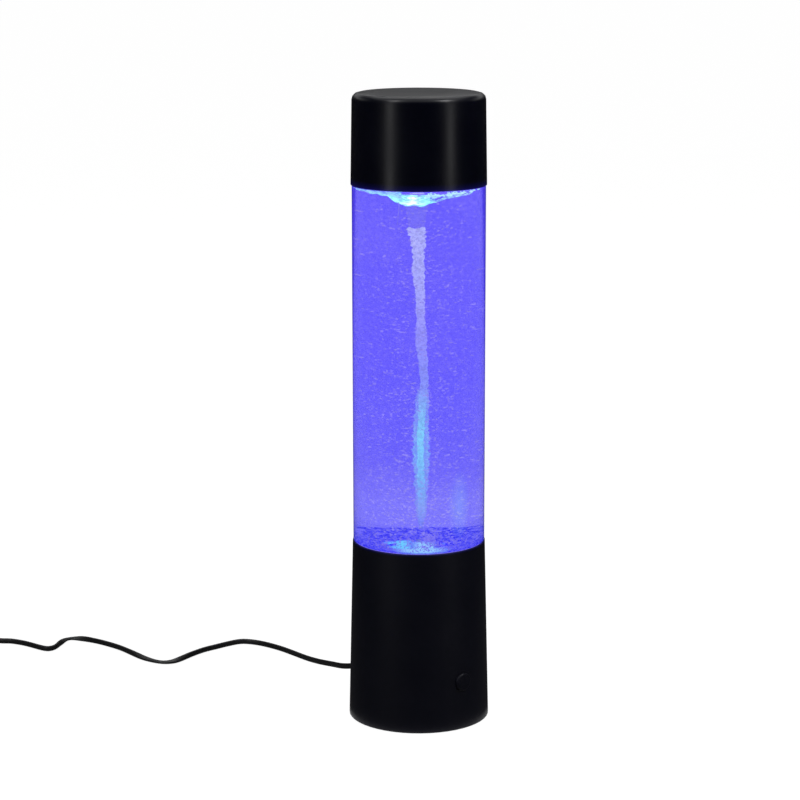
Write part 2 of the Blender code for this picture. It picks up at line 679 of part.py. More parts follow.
# Base, cover and feet
def base_housing():
    fillet_centre = (BASE_FOOT_RADIUS - BASE_FILLET, BASE_EDGE_Z + BASE_FILLET)
    rim_centre = (BASE_RIM_RADIUS - RIM_FILLET, BASE_RIM_Z - RIM_FILLET)
    outline = [(NECK_SOCKET, BASE_RIM_Z)]
    outline += arc(rim_centre, RIM_FILLET, 90, 0)
    outline += arc(fillet_centre, BASE_FILLET, 0, -90)
    outline += [
        (BASE_EDGE_BORE, BASE_EDGE_Z),
        (base_radius(LEDGE_UNDER_Z) - BASE_WALL, LEDGE_UNDER_Z),
        (LEDGE_RADIUS, LEDGE_UNDER_Z),
        (LEDGE_RADIUS, LEDGE_TOP_Z),
        (NECK_SOCKET, LEDGE_TOP_Z),
    ]
    housing = turned("base_housing", outline, BLACK_PLASTIC)
    for angle in BOSS_ANGLES:
        add_boss(housing, angle)
    for angle in SEAT_SCREW_ANGLES:
        cut_hole(
            housing,
            SCREW_HOLE,
            LEDGE_UNDER_Z - CUT_OVERRUN,
            LEDGE_TOP_Z + CUT_OVERRUN,
            around(SEAT_SCREW_CIRCLE, angle),
            SCREW_STEPS,
        )
    button_hole = helper_disc("button_hole", BUTTON_RADIUS + SEAT_GAP, BUTTON_STEM_REACH, BUTTON_FACE_REACH)
    cut(housing, lay_towards_front(button_hole, BUTTON_Z))
    cord_hole = helper_disc("cord_hole", RELIEF_NECK_RADIUS + SEAT_GAP, RELIEF_INNER_REACH, RELIEF_TIP_REACH)
    cut(housing, lay_towards_back(cord_hole, CORD_EXIT_Z))
    return settle(housing)


def add_boss(housing, angle):
    """A screw boss inside the base, tied to the wall by a rib."""
    top = BOSS_UNDER_Z + BOSS_HEIGHT
    place = around(BOSS_CIRCLE, angle)
    join(housing, helper_disc("boss", BOSS_RADIUS, BOSS_UNDER_Z, top, place))
    wall_middle = base_radius(top) - BASE_WALL / 2
    rib_length = wall_middle - BOSS_CIRCLE
    rib_place = around((wall_middle + BOSS_CIRCLE) / 2, angle)
    rib_size = (rib_length, BOSS_RIB_WIDTH, BOSS_HEIGHT - 2 * BOSS_RIB_SETBACK)
    rib_centre = (*rib_place, (BOSS_UNDER_Z + top) / 2)
    join(housing, helper_block("boss_rib", rib_size, rib_centre, math.radians(angle)))
    cut_hole(
        housing,
        SCREW_HOLE,
        BOSS_UNDER_Z - CUT_OVERRUN,
        BOSS_UNDER_Z + BOSS_HOLE_DEPTH,
        place,
        SCREW_STEPS,
    )


def bottom_cover():
    outline = [
        (0, COVER_TOP_Z),
        (COVER_RADIUS, COVER_TOP_Z),
        (COVER_RADIUS, COVER_UNDER_Z),
        (0, COVER_UNDER_Z),
    ]
    cover = turned("bottom_cover", outline, DARK_PLASTIC, INNER_STEPS)
    for side in (-1, 1):
        add_card_guide(cover, side)
    under = COVER_UNDER_Z - CUT_OVERRUN
    head_seat = COVER_UNDER_Z + SCREW_HEAD_HEIGHT + SEAT_GAP
    for angle in BOSS_ANGLES:
        place = around(BOSS_CIRCLE, angle)
        cut_hole(cover, SCREW_HEAD_RADIUS + SEAT_GAP, under, head_seat, place)
        cut_hole(cover, SCREW_HOLE, under, COVER_TOP_Z + CUT_OVERRUN, place, SCREW_STEPS)
    for angle in FOOT_ANGLES:
        place = around(FOOT_CIRCLE, angle)
        cut_hole(cover, FOOT_RADIUS + SEAT_GAP, under, FOOT_HEIGHT + SEAT_GAP, place)
    return settle(cover)


def add_card_guide(cover, side):
    """A slotted post on the cover that holds one edge of the upright circuit board."""
    slot_end = CONTROL_WIDTH / 2 + SEAT_GAP
    inner_face = slot_end - GUIDE_GRIP - SEAT_GAP
    board_y = -(CONTROL_FRONT_REACH + CONTROL_END_REACH) / 2
    post_x = side * (inner_face + GUIDE_WIDTH / 2)
    post_size = (GUIDE_WIDTH, GUIDE_DEPTH, GUIDE_HEIGHT + COVER_THICKNESS / 2)
    post_z = COVER_TOP_Z + (GUIDE_HEIGHT - COVER_THICKNESS / 2) / 2
    join(cover, helper_block("guide", post_size, (post_x, board_y, post_z)))
    slot_size = (2 * (GUIDE_GRIP + SEAT_GAP), PCB_THICKNESS + 2 * SEAT_GAP, GUIDE_HEIGHT + CUT_OVERRUN)
    slot_centre = (side * inner_face, board_y, COVER_TOP_Z + (GUIDE_HEIGHT + CUT_OVERRUN) / 2)
    cut(cover, helper_block("guide_slot", slot_size, slot_centre))


def feet():
    for number, angle in enumerate(FOOT_ANGLES, 1):
        edge = arc((FOOT_RADIUS - FOOT_FILLET, FOOT_FILLET), FOOT_FILLET, 0, -90, 2)
        outline = [(0, FOOT_HEIGHT), (FOOT_RADIUS, FOOT_HEIGHT), *edge, (0, 0)]
        foot = turned(f"foot_{number}", outline, RUBBER, SMALL_STEPS)
        foot.location = (*around(FOOT_CIRCLE, angle), 0)
        settle(foot)


def cover_screws():
    for number, angle in enumerate(BOSS_ANGLES, 1):
        seat = COVER_UNDER_Z + SCREW_HEAD_HEIGHT
        screw(f"cover_screw_{number}", COVER_SCREW_LENGTH, seat, around(BOSS_CIRCLE, angle))


# Tank
def tank_tube():
    low_centre = (TUBE_RADIUS - TUBE_FILLET, SHOULDER_LOW_Z + TUBE_FILLET)
    high_centre = (TUBE_RADIUS - TUBE_FILLET, SHOULDER_HIGH_Z - TUBE_FILLET)
    outline = [(TUBE_BORE, NECK_TOP_Z), (NECK_RADIUS, NECK_TOP_Z), (NECK_RADIUS, SHOULDER_HIGH_Z)]
    outline += arc(high_centre, TUBE_FILLET, 90, 0, 2)
    outline += arc(low_centre, TUBE_FILLET, 0, -90, 2)
    outline += [(NECK_RADIUS, SHOULDER_LOW_Z), (NECK_RADIUS, SPIGOT_END_Z), (TUBE_BORE, SPIGOT_END_Z)]
    return settle(turned("tank_tube", outline, CLEAR_PLASTIC))


def seal_groove(middle):
    """Outline points, downwards, of an O-ring groove in a stopper's skirt."""
    half = SEAL_SECTION / 2 + SEAT_GAP
    root = STOPPER_RADIUS - SEAL_SECTION - SEAT_GAP
    return [
        (STOPPER_RADIUS, middle + half),
        (root, middle + half),
        (root, middle - half),
        (STOPPER_RADIUS, middle - half),
    ]


def seal(name, middle):
    centre = (STOPPER_RADIUS - SEAL_SECTION / 2, middle)
    outline = arc(centre, SEAL_SECTION / 2, 180, -180, SEAL_STEPS)[:-1]
    return settle(turned(name, outline, SILICONE, INNER_STEPS))


def tank_floor():
    well_outer = WELL_RADIUS + WELL_WALL
    boss_bore_floor = WELL_FLOOR_Z - PIN_SOCKET_DEPTH
    outline = [
        (0, boss_bore_floor),
        (PIN_BORE, boss_bore_floor),
        (PIN_BORE, WELL_BOSS_TOP_Z),
        (WELL_BOSS_RADIUS, WELL_BOSS_TOP_Z),
        (WELL_BOSS_RADIUS, WELL_FLOOR_Z),
        (WELL_RADIUS, WELL_FLOOR_Z),
        (WELL_RADIUS, FLOOR_TOP_Z),
        (STOPPER_RADIUS, FLOOR_TOP_Z),
        *seal_groove(FLOOR_TOP_Z - SEAL_BELOW_FACE),
        (STOPPER_RADIUS, FLANGE_TOP_Z),
        (NECK_RADIUS, FLANGE_TOP_Z),
        (NECK_RADIUS, FLANGE_UNDER_Z),
        (SKIRT_BORE, FLANGE_UNDER_Z),
        (SKIRT_BORE, FLOOR_UNDER_Z),
        (well_outer, FLOOR_UNDER_Z),
        (well_outer, WELL_UNDER_Z),
        (0, WELL_UNDER_Z),
    ]
    floor = turned("tank_floor", outline, CLEAR_PLASTIC, INNER_STEPS)
    for angle in PILLAR_ANGLES:
        place = around(PILLAR_CIRCLE, angle)
        join(floor, helper_disc("pillar", PILLAR_RADIUS, PILLAR_END_Z, FLOOR_UNDER_Z + FLOOR_THICKNESS / 2, place))
        hole_top = PILLAR_END_Z + PILLAR_HOLE_DEPTH
        cut_hole(floor, SCREW_HOLE, PILLAR_END_Z - CUT_OVERRUN, hole_top, place, SCREW_STEPS)
    for angle in SEAT_SCREW_ANGLES:
        place = around(SEAT_SCREW_CIRCLE, angle)
        hole_top = LEDGE_UNDER_Z + SEAT_SCREW_LENGTH + SEAT_GAP
        cut_hole(floor, SCREW_HOLE, FLANGE_UNDER_Z - CUT_OVERRUN, hole_top, place, SCREW_STEPS)
    return settle(floor)


def seat_screws():
    for number, angle in enumerate(SEAT_SCREW_ANGLES, 1):
        place = around(SEAT_SCREW_CIRCLE, angle)
        screw(f"seat_screw_{number}", SEAT_SCREW_LENGTH, LEDGE_UNDER_Z - SEAT_GAP, place)


def tank_lid():
    skirt_end = LID_UNDER_Z - LID_SKIRT_DEPTH
    outline = [
        (FILLER_RADIUS, COLLAR_TOP_Z),
        (COLLAR_RADIUS, COLLAR_TOP_Z),
        (COLLAR_RADIUS, LID_TOP_Z),
        (NECK_RADIUS, LID_TOP_Z),
        (NECK_RADIUS, LID_UNDER_Z),
        (STOPPER_RADIUS, LID_UNDER_Z),
        *seal_groove(LID_UNDER_Z - SEAL_BELOW_FACE),
        (STOPPER_RADIUS, skirt_end),
        (SKIRT_BORE, skirt_end),
        (SKIRT_BORE, LID_UNDER_Z),
        (FILLER_RADIUS, LID_UNDER_Z),
    ]
    return settle(turned("tank_lid", outline, WHITE_PLASTIC, INNER_STEPS))


def fill_plug():
    head_radius = COLLAR_RADIUS + PLUG_HEAD_OVERHANG
    head_top = PLUG_HEAD_UNDER_Z + PLUG_HEAD_HEIGHT
    body_radius = FILLER_RADIUS - SEAT_GAP
    body_end = PLUG_HEAD_UNDER_Z - PLUG_DEPTH
    edge = arc((head_radius - PLUG_FILLET, head_top - PLUG_FILLET), PLUG_FILLET, 90, 0, 2)
    outline = [
        (0, head_top),
        *edge,
        (head_radius, PLUG_HEAD_UNDER_Z),
        (body_radius, PLUG_HEAD_UNDER_Z),
        (body_radius - PLUG_TAPER, body_end),
        (0, body_end),
    ]
    stopper = turned("fill_plug", outline, SILICONE, DRIVE_STEPS)
    tab_height = PLUG_TAB[2] + PLUG_FILLET
    tab_centre = (0, 0, head_top - PLUG_FILLET + tab_height / 2)
    join(stopper, helper_block("plug_tab", (PLUG_TAB[0], PLUG_TAB[1], tab_height), tab_centre))
    return settle(stopper)


def vortex_path():
    """Points down the vortex's middle, from above the surface to its tip over the impeller."""
    tip = PIN_TOP_Z + SEAT_GAP + VORTEX_TIP_CLEARANCE
    depth = WATER_TOP_Z - tip
    points = [(0, 0, WATER_TOP_Z + CUT_OVERRUN)]
    for depth_share, sway_share in zip(VORTEX_DEPTH_SHARES, VORTEX_SWAY_SHARES):
        sway = VORTEX_SWAY * sway_share
        points.append(
            (
                sway * math.cos(VORTEX_SWAY_ANGLE),
                sway * math.sin(VORTEX_SWAY_ANGLE),
                WATER_TOP_Z - depth * depth_share,
            )
        )
    return points


def water_fill():
    """The water: it stands clear of the tank wall and the impeller, and the vortex is open at its top."""
    outline = [
        (0, WATER_TOP_Z),
        (STOPPER_RADIUS, WATER_TOP_Z),
        (STOPPER_RADIUS, WATER_UNDER_Z),
        (WELL_RADIUS, WATER_UNDER_Z),
        (WELL_RADIUS, PIN_TOP_Z + SEAT_GAP),
        (0, PIN_TOP_Z + SEAT_GAP),
    ]
    water = turned("water_fill", outline, WATER)
    radii = [VORTEX_RADIUS_SHARES[0], *VORTEX_RADIUS_SHARES]
    rings = (VORTEX_SIDES - 4) // 2
    cut(water, tube("vortex", vortex_path(), VORTEX_MOUTH_RADIUS, WATER, rings, radii, CUTTERS))
    return settle(water)


# Impeller and magnetic drive
def vane_outline():
    """A curved vane from the hub to the rim, as the band between two arcs."""
    inner = []
    outer = []
    for i in range(VANE_POINTS + 1):
        share = i / VANE_POINTS
        radius = IMPELLER_HUB_RADIUS / 2 + (IMPELLER_RADIUS - IMPELLER_HUB_RADIUS) * share
        angle = VANE_SWEEP * share
        half_turn = VANE_THICKNESS / (2 * max(radius, IMPELLER_HUB_RADIUS))
        inner.append((radius * math.cos(angle - half_turn), radius * math.sin(angle - half_turn)))
        outer.append((radius * math.cos(angle + half_turn), radius * math.sin(angle + half_turn)))
    return inner + outer[::-1]


def magnet_pockets(obj, low, high):
    for angle in MAGNET_ANGLES:
        cut_hole(obj, MAGNET_POCKET, low, high, around(MAGNET_CIRCLE, angle), SMALL_STEPS)


def magnets(name, low):
    for number, angle in enumerate(MAGNET_ANGLES, 1):
        place = around(MAGNET_CIRCLE, angle)
        settle(disc(f"{name}_{number}", MAGNET_RADIUS, low, low + MAGNET_HEIGHT, MAGNET_PLATE, at=place))


def impeller():
    outline = [
        (PIN_BORE, IMPELLER_TOP_Z),
        (IMPELLER_HUB_RADIUS, IMPELLER_TOP_Z),
        (IMPELLER_HUB_RADIUS, IMPELLER_DISC_TOP_Z),
        (IMPELLER_RADIUS, IMPELLER_DISC_TOP_Z),
        (IMPELLER_RADIUS, IMPELLER_UNDER_Z),
        (PIN_BORE, IMPELLER_UNDER_Z),
    ]
    wheel = turned("impeller", outline, WHITE_PLASTIC, DRIVE_STEPS)
    root = IMPELLER_DISC / 4
    for number in range(VANE_COUNT):
        vane = flat_plate("vane", [vane_outline()], VANE_HEIGHT + root, WHITE_PLASTIC, CUTTERS)
        vane.location = (0, 0, IMPELLER_TOP_Z - CUT_OVERRUN / 4 - (VANE_HEIGHT + root) / 2)
        vane.rotation_euler = (0, 0, math.tau * number / VANE_COUNT)
        join(wheel, vane)
    magnet_pockets(wheel, IMPELLER_UNDER_Z - CUT_OVERRUN, IMPELLER_UNDER_Z + MAGNET_POCKET_DEPTH)
    settle(wheel)
    magnets("impeller_magnet", IMPELLER_UNDER_Z)
    pin_foot = WELL_FLOOR_Z - PIN_SOCKET_DEPTH + SEAT_GAP
    settle(disc("impeller_pin", PIN_RADIUS, pin_foot, PIN_TOP_Z, STEEL))


def magnet_carrier():
    shaft_bore = PIN_RADIUS + SEAT_GAP
    outline = [
        (0, CARRIER_TOP_Z),
        (IMPELLER_RADIUS, CARRIER_TOP_Z),
        (IMPELLER_RADIUS, CARRIER_DISC_UNDER_Z),
        (CARRIER_HUB_RADIUS, CARRIER_DISC_UNDER_Z),
        (CARRIER_HUB_RADIUS, CARRIER_UNDER_Z),
        (shaft_bore, CARRIER_UNDER_Z),
        (shaft_bore, CARRIER_BORE_TOP_Z),
        (0, CARRIER_BORE_TOP_Z),
    ]
    carrier = turned("magnet_carrier", outline, DARK_PLASTIC, DRIVE_STEPS)
    magnet_pockets(carrier, CARRIER_TOP_Z - MAGNET_POCKET_DEPTH, CARRIER_TOP_Z + CUT_OVERRUN)
    settle(carrier)
    magnets("drive_magnet", CARRIER_TOP_Z - MAGNET_HEIGHT)
    settle(disc("motor_shaft", PIN_RADIUS, MOTOR_TOP_Z - MOTOR_SHAFT_DEPTH, SHAFT_TOP_Z, STEEL))


def motor_can():
    boss_top = MOTOR_TOP_Z + MOTOR_BOSS_HEIGHT
    shaft_bore = PIN_RADIUS + SEAT_GAP
    bore_floor = MOTOR_TOP_Z - MOTOR_SHAFT_DEPTH - SEAT_GAP
    tail_under = MOTOR_UNDER_Z - MOTOR_TAIL_HEIGHT
    inset = MOTOR_RADIUS - MOTOR_FILLET
    outline = [
        (0, bore_floor),
        (shaft_bore, bore_floor),
        (shaft_bore, boss_top),
        (MOTOR_BOSS_RADIUS, boss_top),
        (MOTOR_BOSS_RADIUS, MOTOR_TOP_Z),
        *arc((inset, MOTOR_TOP_Z - MOTOR_FILLET), MOTOR_FILLET, 90, 0, 2),
        *arc((inset, MOTOR_UNDER_Z + MOTOR_FILLET), MOTOR_FILLET, 0, -90, 2),
        (MOTOR_TAIL_RADIUS, MOTOR_UNDER_Z),
        (MOTOR_TAIL_RADIUS, tail_under),
        (0, tail_under),
    ]
    can = turned("motor_can", outline, STEEL, DRIVE_STEPS)
    for angle in MOTOR_SCREW_ANGLES:
        place = around(MOTOR_SCREW_CIRCLE, angle)
        cut_hole(can, SCREW_HOLE, MOTOR_TOP_Z - MOTOR_SCREW_BITE, MOTOR_TOP_Z + CUT_OVERRUN, place, SCREW_STEPS)
    return settle(can)


def bracket_outline():
    """A round plate with a round-ended arm to each pillar."""
    half = BRACKET_ARM_WIDTH / 2
    spread = math.degrees(math.asin(half / BRACKET_RADIUS))
    outline = []
    for angle, next_angle in zip(PILLAR_ANGLES, (*PILLAR_ANGLES[1:], PILLAR_ANGLES[0] + 360)):
        outline += arc(around(PILLAR_CIRCLE, angle), half, angle - 90, angle + 90, SMALL_STEPS // 2)
        outline += arc((0, 0), BRACKET_RADIUS, angle + spread, next_angle - spread, SMALL_STEPS // 2)
    return outline


def motor_bracket():
    """A three-armed plate whose stand-offs clamp the LED board to the tank floor's pillars."""
    loops = [bracket_outline(), arc((0, 0), MOTOR_BOSS_RADIUS + SEAT_GAP, 360, 0, SMALL_STEPS)[:-1]]
    for angle in MOTOR_SCREW_ANGLES:
        loops.append(arc(around(MOTOR_SCREW_CIRCLE, angle), SCREW_HOLE, 360, 0, SCREW_STEPS)[:-1])
    bracket = flat_plate("motor_bracket", loops, BRACKET_THICKNESS, STEEL)
    middle_z = (BRACKET_TOP_Z + BRACKET_UNDER_Z) / 2
    bracket.location = (0, 0, middle_z)
    for angle in PILLAR_ANGLES:
        place = around(PILLAR_CIRCLE, angle)
        join(bracket, helper_disc("standoff", PILLAR_RADIUS, middle_z, STANDOFF_TOP_Z, place))
        cut_hole(
            bracket,
            SCREW_HOLE,
            BRACKET_UNDER_Z - CUT_OVERRUN,
            STANDOFF_TOP_Z + CUT_OVERRUN,
            place,
            SCREW_STEPS,
        )
    return settle(bracket)


def bracket_screws():
    for number, angle in enumerate(PILLAR_ANGLES, 1):
        place = around(PILLAR_CIRCLE, angle)
        screw(f"bracket_screw_{number}", BRACKET_SCREW_LENGTH, BRACKET_UNDER_Z - SEAT_GAP, place)
    for number, angle in enumerate(MOTOR_SCREW_ANGLES, 1):
        place = around(MOTOR_SCREW_CIRCLE, angle)
        screw(f"motor_screw_{number}", MOTOR_SCREW_LENGTH, BRACKET_TOP_Z + SEAT_GAP, place, points_up=False)


# Circuit boards, button and switch
def led_board():
    outline = [
        (LED_BOARD_HOLE, LED_BOARD_TOP_Z),
        (LED_BOARD_RADIUS, LED_BOARD_TOP_Z),
        (LED_BOARD_RADIUS, LED_BOARD_UNDER_Z),
        (LED_BOARD_HOLE, LED_BOARD_UNDER_Z),
    ]
    board = turned("led_board", outline, PCB_WHITE, INNER_STEPS)
    for angle in PILLAR_ANGLES:
        cut_hole(
            board,
            SCREW_HOLE,
            LED_BOARD_UNDER_Z - CUT_OVERRUN,
            LED_BOARD_TOP_Z + CUT_OVERRUN,
            around(PILLAR_CIRCLE, angle),
            SCREW_STEPS,
        )
    settle(board)
    for number in range(LED_COUNT):
        angle = 360 * number / LED_COUNT
        centre = (*around(LED_CIRCLE, angle), LED_BOARD_TOP_Z + SEAT_GAP + LED_SIZE[2] / 2)
        led = block(f"led_{number + 1}", LED_SIZE, centre, LED_LENS, fillet=LED_FILLET, turn=math.radians(angle))
        settle(led)


def control_board():
    foot = COVER_TOP_Z + CONTROL_FOOT
    board_y = -(CONTROL_FRONT_REACH + CONTROL_END_REACH) / 2
    size = (CONTROL_WIDTH, PCB_THICKNESS, CONTROL_HEIGHT)
    settle(block("control_board", size, (0, board_y, foot + CONTROL_HEIGHT / 2), PCB_GREEN))
    parts_y = -CONTROL_END_REACH + SEAT_GAP
    chip_centre = (0, parts_y + CHIP_SIZE[1] / 2, COVER_TOP_Z + CHIP_ABOVE_COVER)
    settle(block("control_chip", CHIP_SIZE, chip_centre, DARK_PLASTIC))
    socket_y = parts_y + SOCKET_SIZE[1] / 2
    socket_z = CONTROL_TOP_Z - SOCKET_BELOW_EDGE
    settle(block("motor_socket", SOCKET_SIZE, (SOCKET_OFFSET, socket_y, socket_z), WHITE_PLASTIC))
    settle(block("led_socket", SOCKET_SIZE, (-SOCKET_OFFSET, socket_y, socket_z), WHITE_PLASTIC))


def power_button():
    edge = arc((BUTTON_RADIUS - BUTTON_FILLET, BUTTON_FACE_REACH - BUTTON_FILLET), BUTTON_FILLET, 90, 0, 3)
    outline = [
        (0, BUTTON_FACE_REACH - BUTTON_DISH),
        *edge,
        (BUTTON_RADIUS, BUTTON_FLANGE_REACH),
        (BUTTON_FLANGE_RADIUS, BUTTON_FLANGE_REACH),
        (BUTTON_FLANGE_RADIUS, BUTTON_STEM_REACH),
        (BUTTON_STEM_RADIUS, BUTTON_STEM_REACH),
        (BUTTON_STEM_RADIUS, BUTTON_END_REACH),
        (0, BUTTON_END_REACH),
    ]
    button = turned("power_button", outline, BLACK_PLASTIC, DRIVE_STEPS)
    lay_towards_front(settle(button), BUTTON_Z)
    plunger = disc("switch_plunger", PLUNGER_RADIUS, PLUNGER_END_REACH, PLUNGER_FRONT_REACH, WHITE_PLASTIC)
    lay_towards_front(settle(plunger), BUTTON_Z)


def power_switch():
    middle = (SWITCH_FRONT_REACH + SWITCH_END_REACH) / 2
    body = block("power_switch", (SWITCH_WIDTH, SWITCH_DEPTH, SWITCH_WIDTH), (0, -middle, BUTTON_Z), DARK_PLASTIC)
    pocket_end = PLUNGER_END_REACH - BUTTON_TRAVEL - SEAT_GAP
    pocket_radius = PLUNGER_RADIUS + SEAT_GAP
    pocket = helper_disc("switch_pocket", pocket_radius, pocket_end, SWITCH_FRONT_REACH + CUT_OVERRUN)
    cut(body, lay_towards_front(pocket, BUTTON_Z))
    return settle(body)


# Cap
def top_cap():
    edge_centre = (CAP_TOP_RADIUS - CAP_TOP_FILLET, CAP_TOP_Z - CAP_TOP_FILLET)
    outline = [(0, CAP_TOP_Z)]
    outline += arc(edge_centre, CAP_TOP_FILLET, 90, 0)
    outline += [
        (CAP_EDGE_RADIUS, CAP_EDGE_Z),
        (NECK_SOCKET, CAP_EDGE_Z),
        (NECK_SOCKET, CAP_STEP_Z),
        (CAP_BORE, CAP_STEP_Z),
        (CAP_BORE, CAP_UNDER_TOP_Z),
        (0, CAP_UNDER_TOP_Z),
    ]
    cap = turned("top_cap", outline, BLACK_PLASTIC)
    inner = CAP_BORE - CAP_RIB_REACH
    outer = CAP_BORE + CAP_WALL / 2
    top = CAP_UNDER_TOP_Z + CAP_TOP_THICKNESS / 2
    low = CAP_UNDER_TOP_Z - CAP_RIB_HEIGHT
    for number in range(CAP_RIB_COUNT):
        angle = 360 * number / CAP_RIB_COUNT
        centre = (*around((inner + outer) / 2, angle), (low + top) / 2)
        size = (outer - inner, CAP_RIB_THICKNESS, top - low)
        join(cap, helper_block("cap_rib", size, centre, math.radians(angle)))
    return settle(cap)


# Cord, wiring and plug
def strain_relief():
    grooves = []
    body = RELIEF_LENGTH - RELIEF_COLLAR_THICKNESS
    step = body / (2 * RELIEF_RIB_COUNT + 1)
    for i in range(2 * RELIEF_RIB_COUNT + 2):
        share = i / (2 * RELIEF_RIB_COUNT + 1)
        reach = RELIEF_TIP_REACH - step * i
        radius = RELIEF_TIP_RADIUS + (RELIEF_COLLAR_RADIUS - RELIEF_TIP_RADIUS) * share
        in_groove = i % 4 in (1, 2)
        grooves.append((radius - (RELIEF_GROOVE_DEPTH if in_groove else 0), reach))
    collar_face = RELIEF_WALL_REACH + RELIEF_COLLAR_THICKNESS
    outline = [
        (0, RELIEF_TIP_REACH),
        *grooves[:-1],
        (RELIEF_COLLAR_RADIUS, collar_face),
        (RELIEF_COLLAR_RADIUS, RELIEF_WALL_REACH),
        (RELIEF_NECK_RADIUS, RELIEF_WALL_REACH),
        (RELIEF_NECK_RADIUS, RELIEF_FLANGE_REACH),
        (RELIEF_FLANGE_RADIUS, RELIEF_FLANGE_REACH),
        (RELIEF_FLANGE_RADIUS, RELIEF_INNER_REACH),
        (0, RELIEF_INNER_REACH),
    ]
    relief = turned("strain_relief", outline, CORD_PLASTIC, SMALL_STEPS)
    return lay_towards_back(settle(relief), CORD_EXIT_Z)


def inner_leads():
    """The wiring inside the base: cord to board, board to motor and board to LED ring."""
    socket_y = -CONTROL_END_REACH + SEAT_GAP + SOCKET_SIZE[1] / 2
    socket_top = CONTROL_TOP_Z - SOCKET_BELOW_EDGE + SOCKET_SIZE[2] / 2 + SEAT_GAP
    rise = MOTOR_UNDER_Z - socket_top
    motor_route = (
        (MOTOR_TAIL_RADIUS * 1.4, -MOTOR_TAIL_RADIUS, MOTOR_UNDER_Z - SEAT_GAP),
        (MOTOR_TAIL_RADIUS * 1.4, -MOTOR_TAIL_RADIUS, MOTOR_UNDER_Z - rise * 0.15),
        (SOCKET_OFFSET, socket_y * 0.6, MOTOR_UNDER_Z - rise * 0.5),
        (SOCKET_OFFSET, socket_y, socket_top + rise * 0.2),
        (SOCKET_OFFSET, socket_y, socket_top),
    )
    tube("motor_lead", smooth_points(motor_route, LEAD_POINT_SPACING), LEAD_RADIUS, RUBBER, 1)
    ring_y = -(LED_BOARD_RADIUS + LED_BOARD_HOLE) / 2 - LED_SIZE[1] / 2
    led_rise = LED_BOARD_UNDER_Z - socket_top
    led_route = (
        (-SOCKET_OFFSET, ring_y, LED_BOARD_UNDER_Z - SEAT_GAP),
        (-SOCKET_OFFSET, ring_y, LED_BOARD_UNDER_Z - led_rise * 0.2),
        (-SOCKET_OFFSET, ring_y, LED_BOARD_UNDER_Z - led_rise * 0.6),
        (-SOCKET_OFFSET, socket_y, socket_top + led_rise * 0.1),
        (-SOCKET_OFFSET, socket_y, socket_top),
    )
    tube("led_lead", smooth_points(led_route, LEAD_POINT_SPACING), LEAD_RADIUS, RUBBER, 1)
    cord_radius = CORD_DIAMETER / 2
    lying = COVER_TOP_Z + CORD_DIAMETER
    board_y = -CONTROL_END_REACH + SEAT_GAP
    end_x = CONTROL_WIDTH / 4
    power_route = (
        (0, RELIEF_INNER_REACH - SEAT_GAP, CORD_EXIT_Z),
        (0, RELIEF_INNER_REACH - 3 * cord_radius, CORD_EXIT_Z),
        (0, RELIEF_INNER_REACH / 2, lying),
        (end_x, 0, lying),
        (end_x, board_y / 2, lying),
        (end_x, board_y + 2 * CORD_DIAMETER, CORD_EXIT_Z),
        (end_x, board_y, CORD_EXIT_Z),
    )
    tube("power_lead", smooth_points(power_route, LEAD_POINT_SPACING), cord_radius, CORD_PLASTIC)


def coil_place(angle):
    """A point of the coil after a turn of angle: in along the lower layer, then out along the upper."""
    total = math.tau * COIL_TURNS
    from_reverse = angle - total / 2
    rounded = math.sqrt(from_reverse**2 + COIL_REVERSE_ROUNDING**2)
    radius = COIL_INNER_RADIUS + COIL_PITCH * rounded / math.tau
    climb = min(max(from_reverse / math.pi + 0.5, 0), 1)
    height = COIL_LOW_Z + COIL_PITCH * climb * climb * (3 - 2 * climb)
    direction = COIL_START_ANGLE + angle
    return Vector(
        (
            COIL_CENTRE[0] + radius * math.cos(direction),
            COIL_CENTRE[1] + radius * math.sin(direction),
            height,
        )
    )


def coil_ends():
    """The coil's first and last turning points, and the flat directions in which the cord runs there."""
    total = math.tau * COIL_TURNS
    small = math.tau / COIL_POINTS / CURVE_STEPS
    start = coil_place(0)
    end = coil_place(total)
    start_way = (coil_place(small) - start) * Vector((1, 1, 0))
    end_way = (end - coil_place(total - small)) * Vector((1, 1, 0))
    return start, start_way.normalized(), end, end_way.normalized()


def coil_points():
    start, start_way, end, end_way = coil_ends()
    count = round(COIL_TURNS * COIL_POINTS)
    points = [start - start_way * CORD_DIAMETER]
    points += [coil_place(math.tau * COIL_TURNS * i / count) for i in range(count + 1)]
    for i in range(1, COIL_TAIL_POINTS + 1):
        share = i / COIL_TAIL_POINTS
        fall = max(share - COIL_TAIL_LEVEL_SHARE, 0) / (1 - COIL_TAIL_LEVEL_SHARE)
        drop = (PLUG_AXIS_Z - COIL_HIGH_Z) * fall * fall * (3 - 2 * fall)
        points.append(end + end_way * COIL_TAIL * share + Vector((0, 0, drop)))
    points.append(points[-1] + end_way * CORD_DIAMETER)
    return points


def least_gap(points, loop):
    """The least clear distance between turns, measured between points at least half a loop apart."""
    least = math.inf
    for i, a in enumerate(points):
        for b in points[i + loop // 2 :]:
            least = min(least, (a - b).length)
    return least - CORD_DIAMETER


def path_length(points):
    return sum((b - a).length for a, b in zip(points, points[1:]))


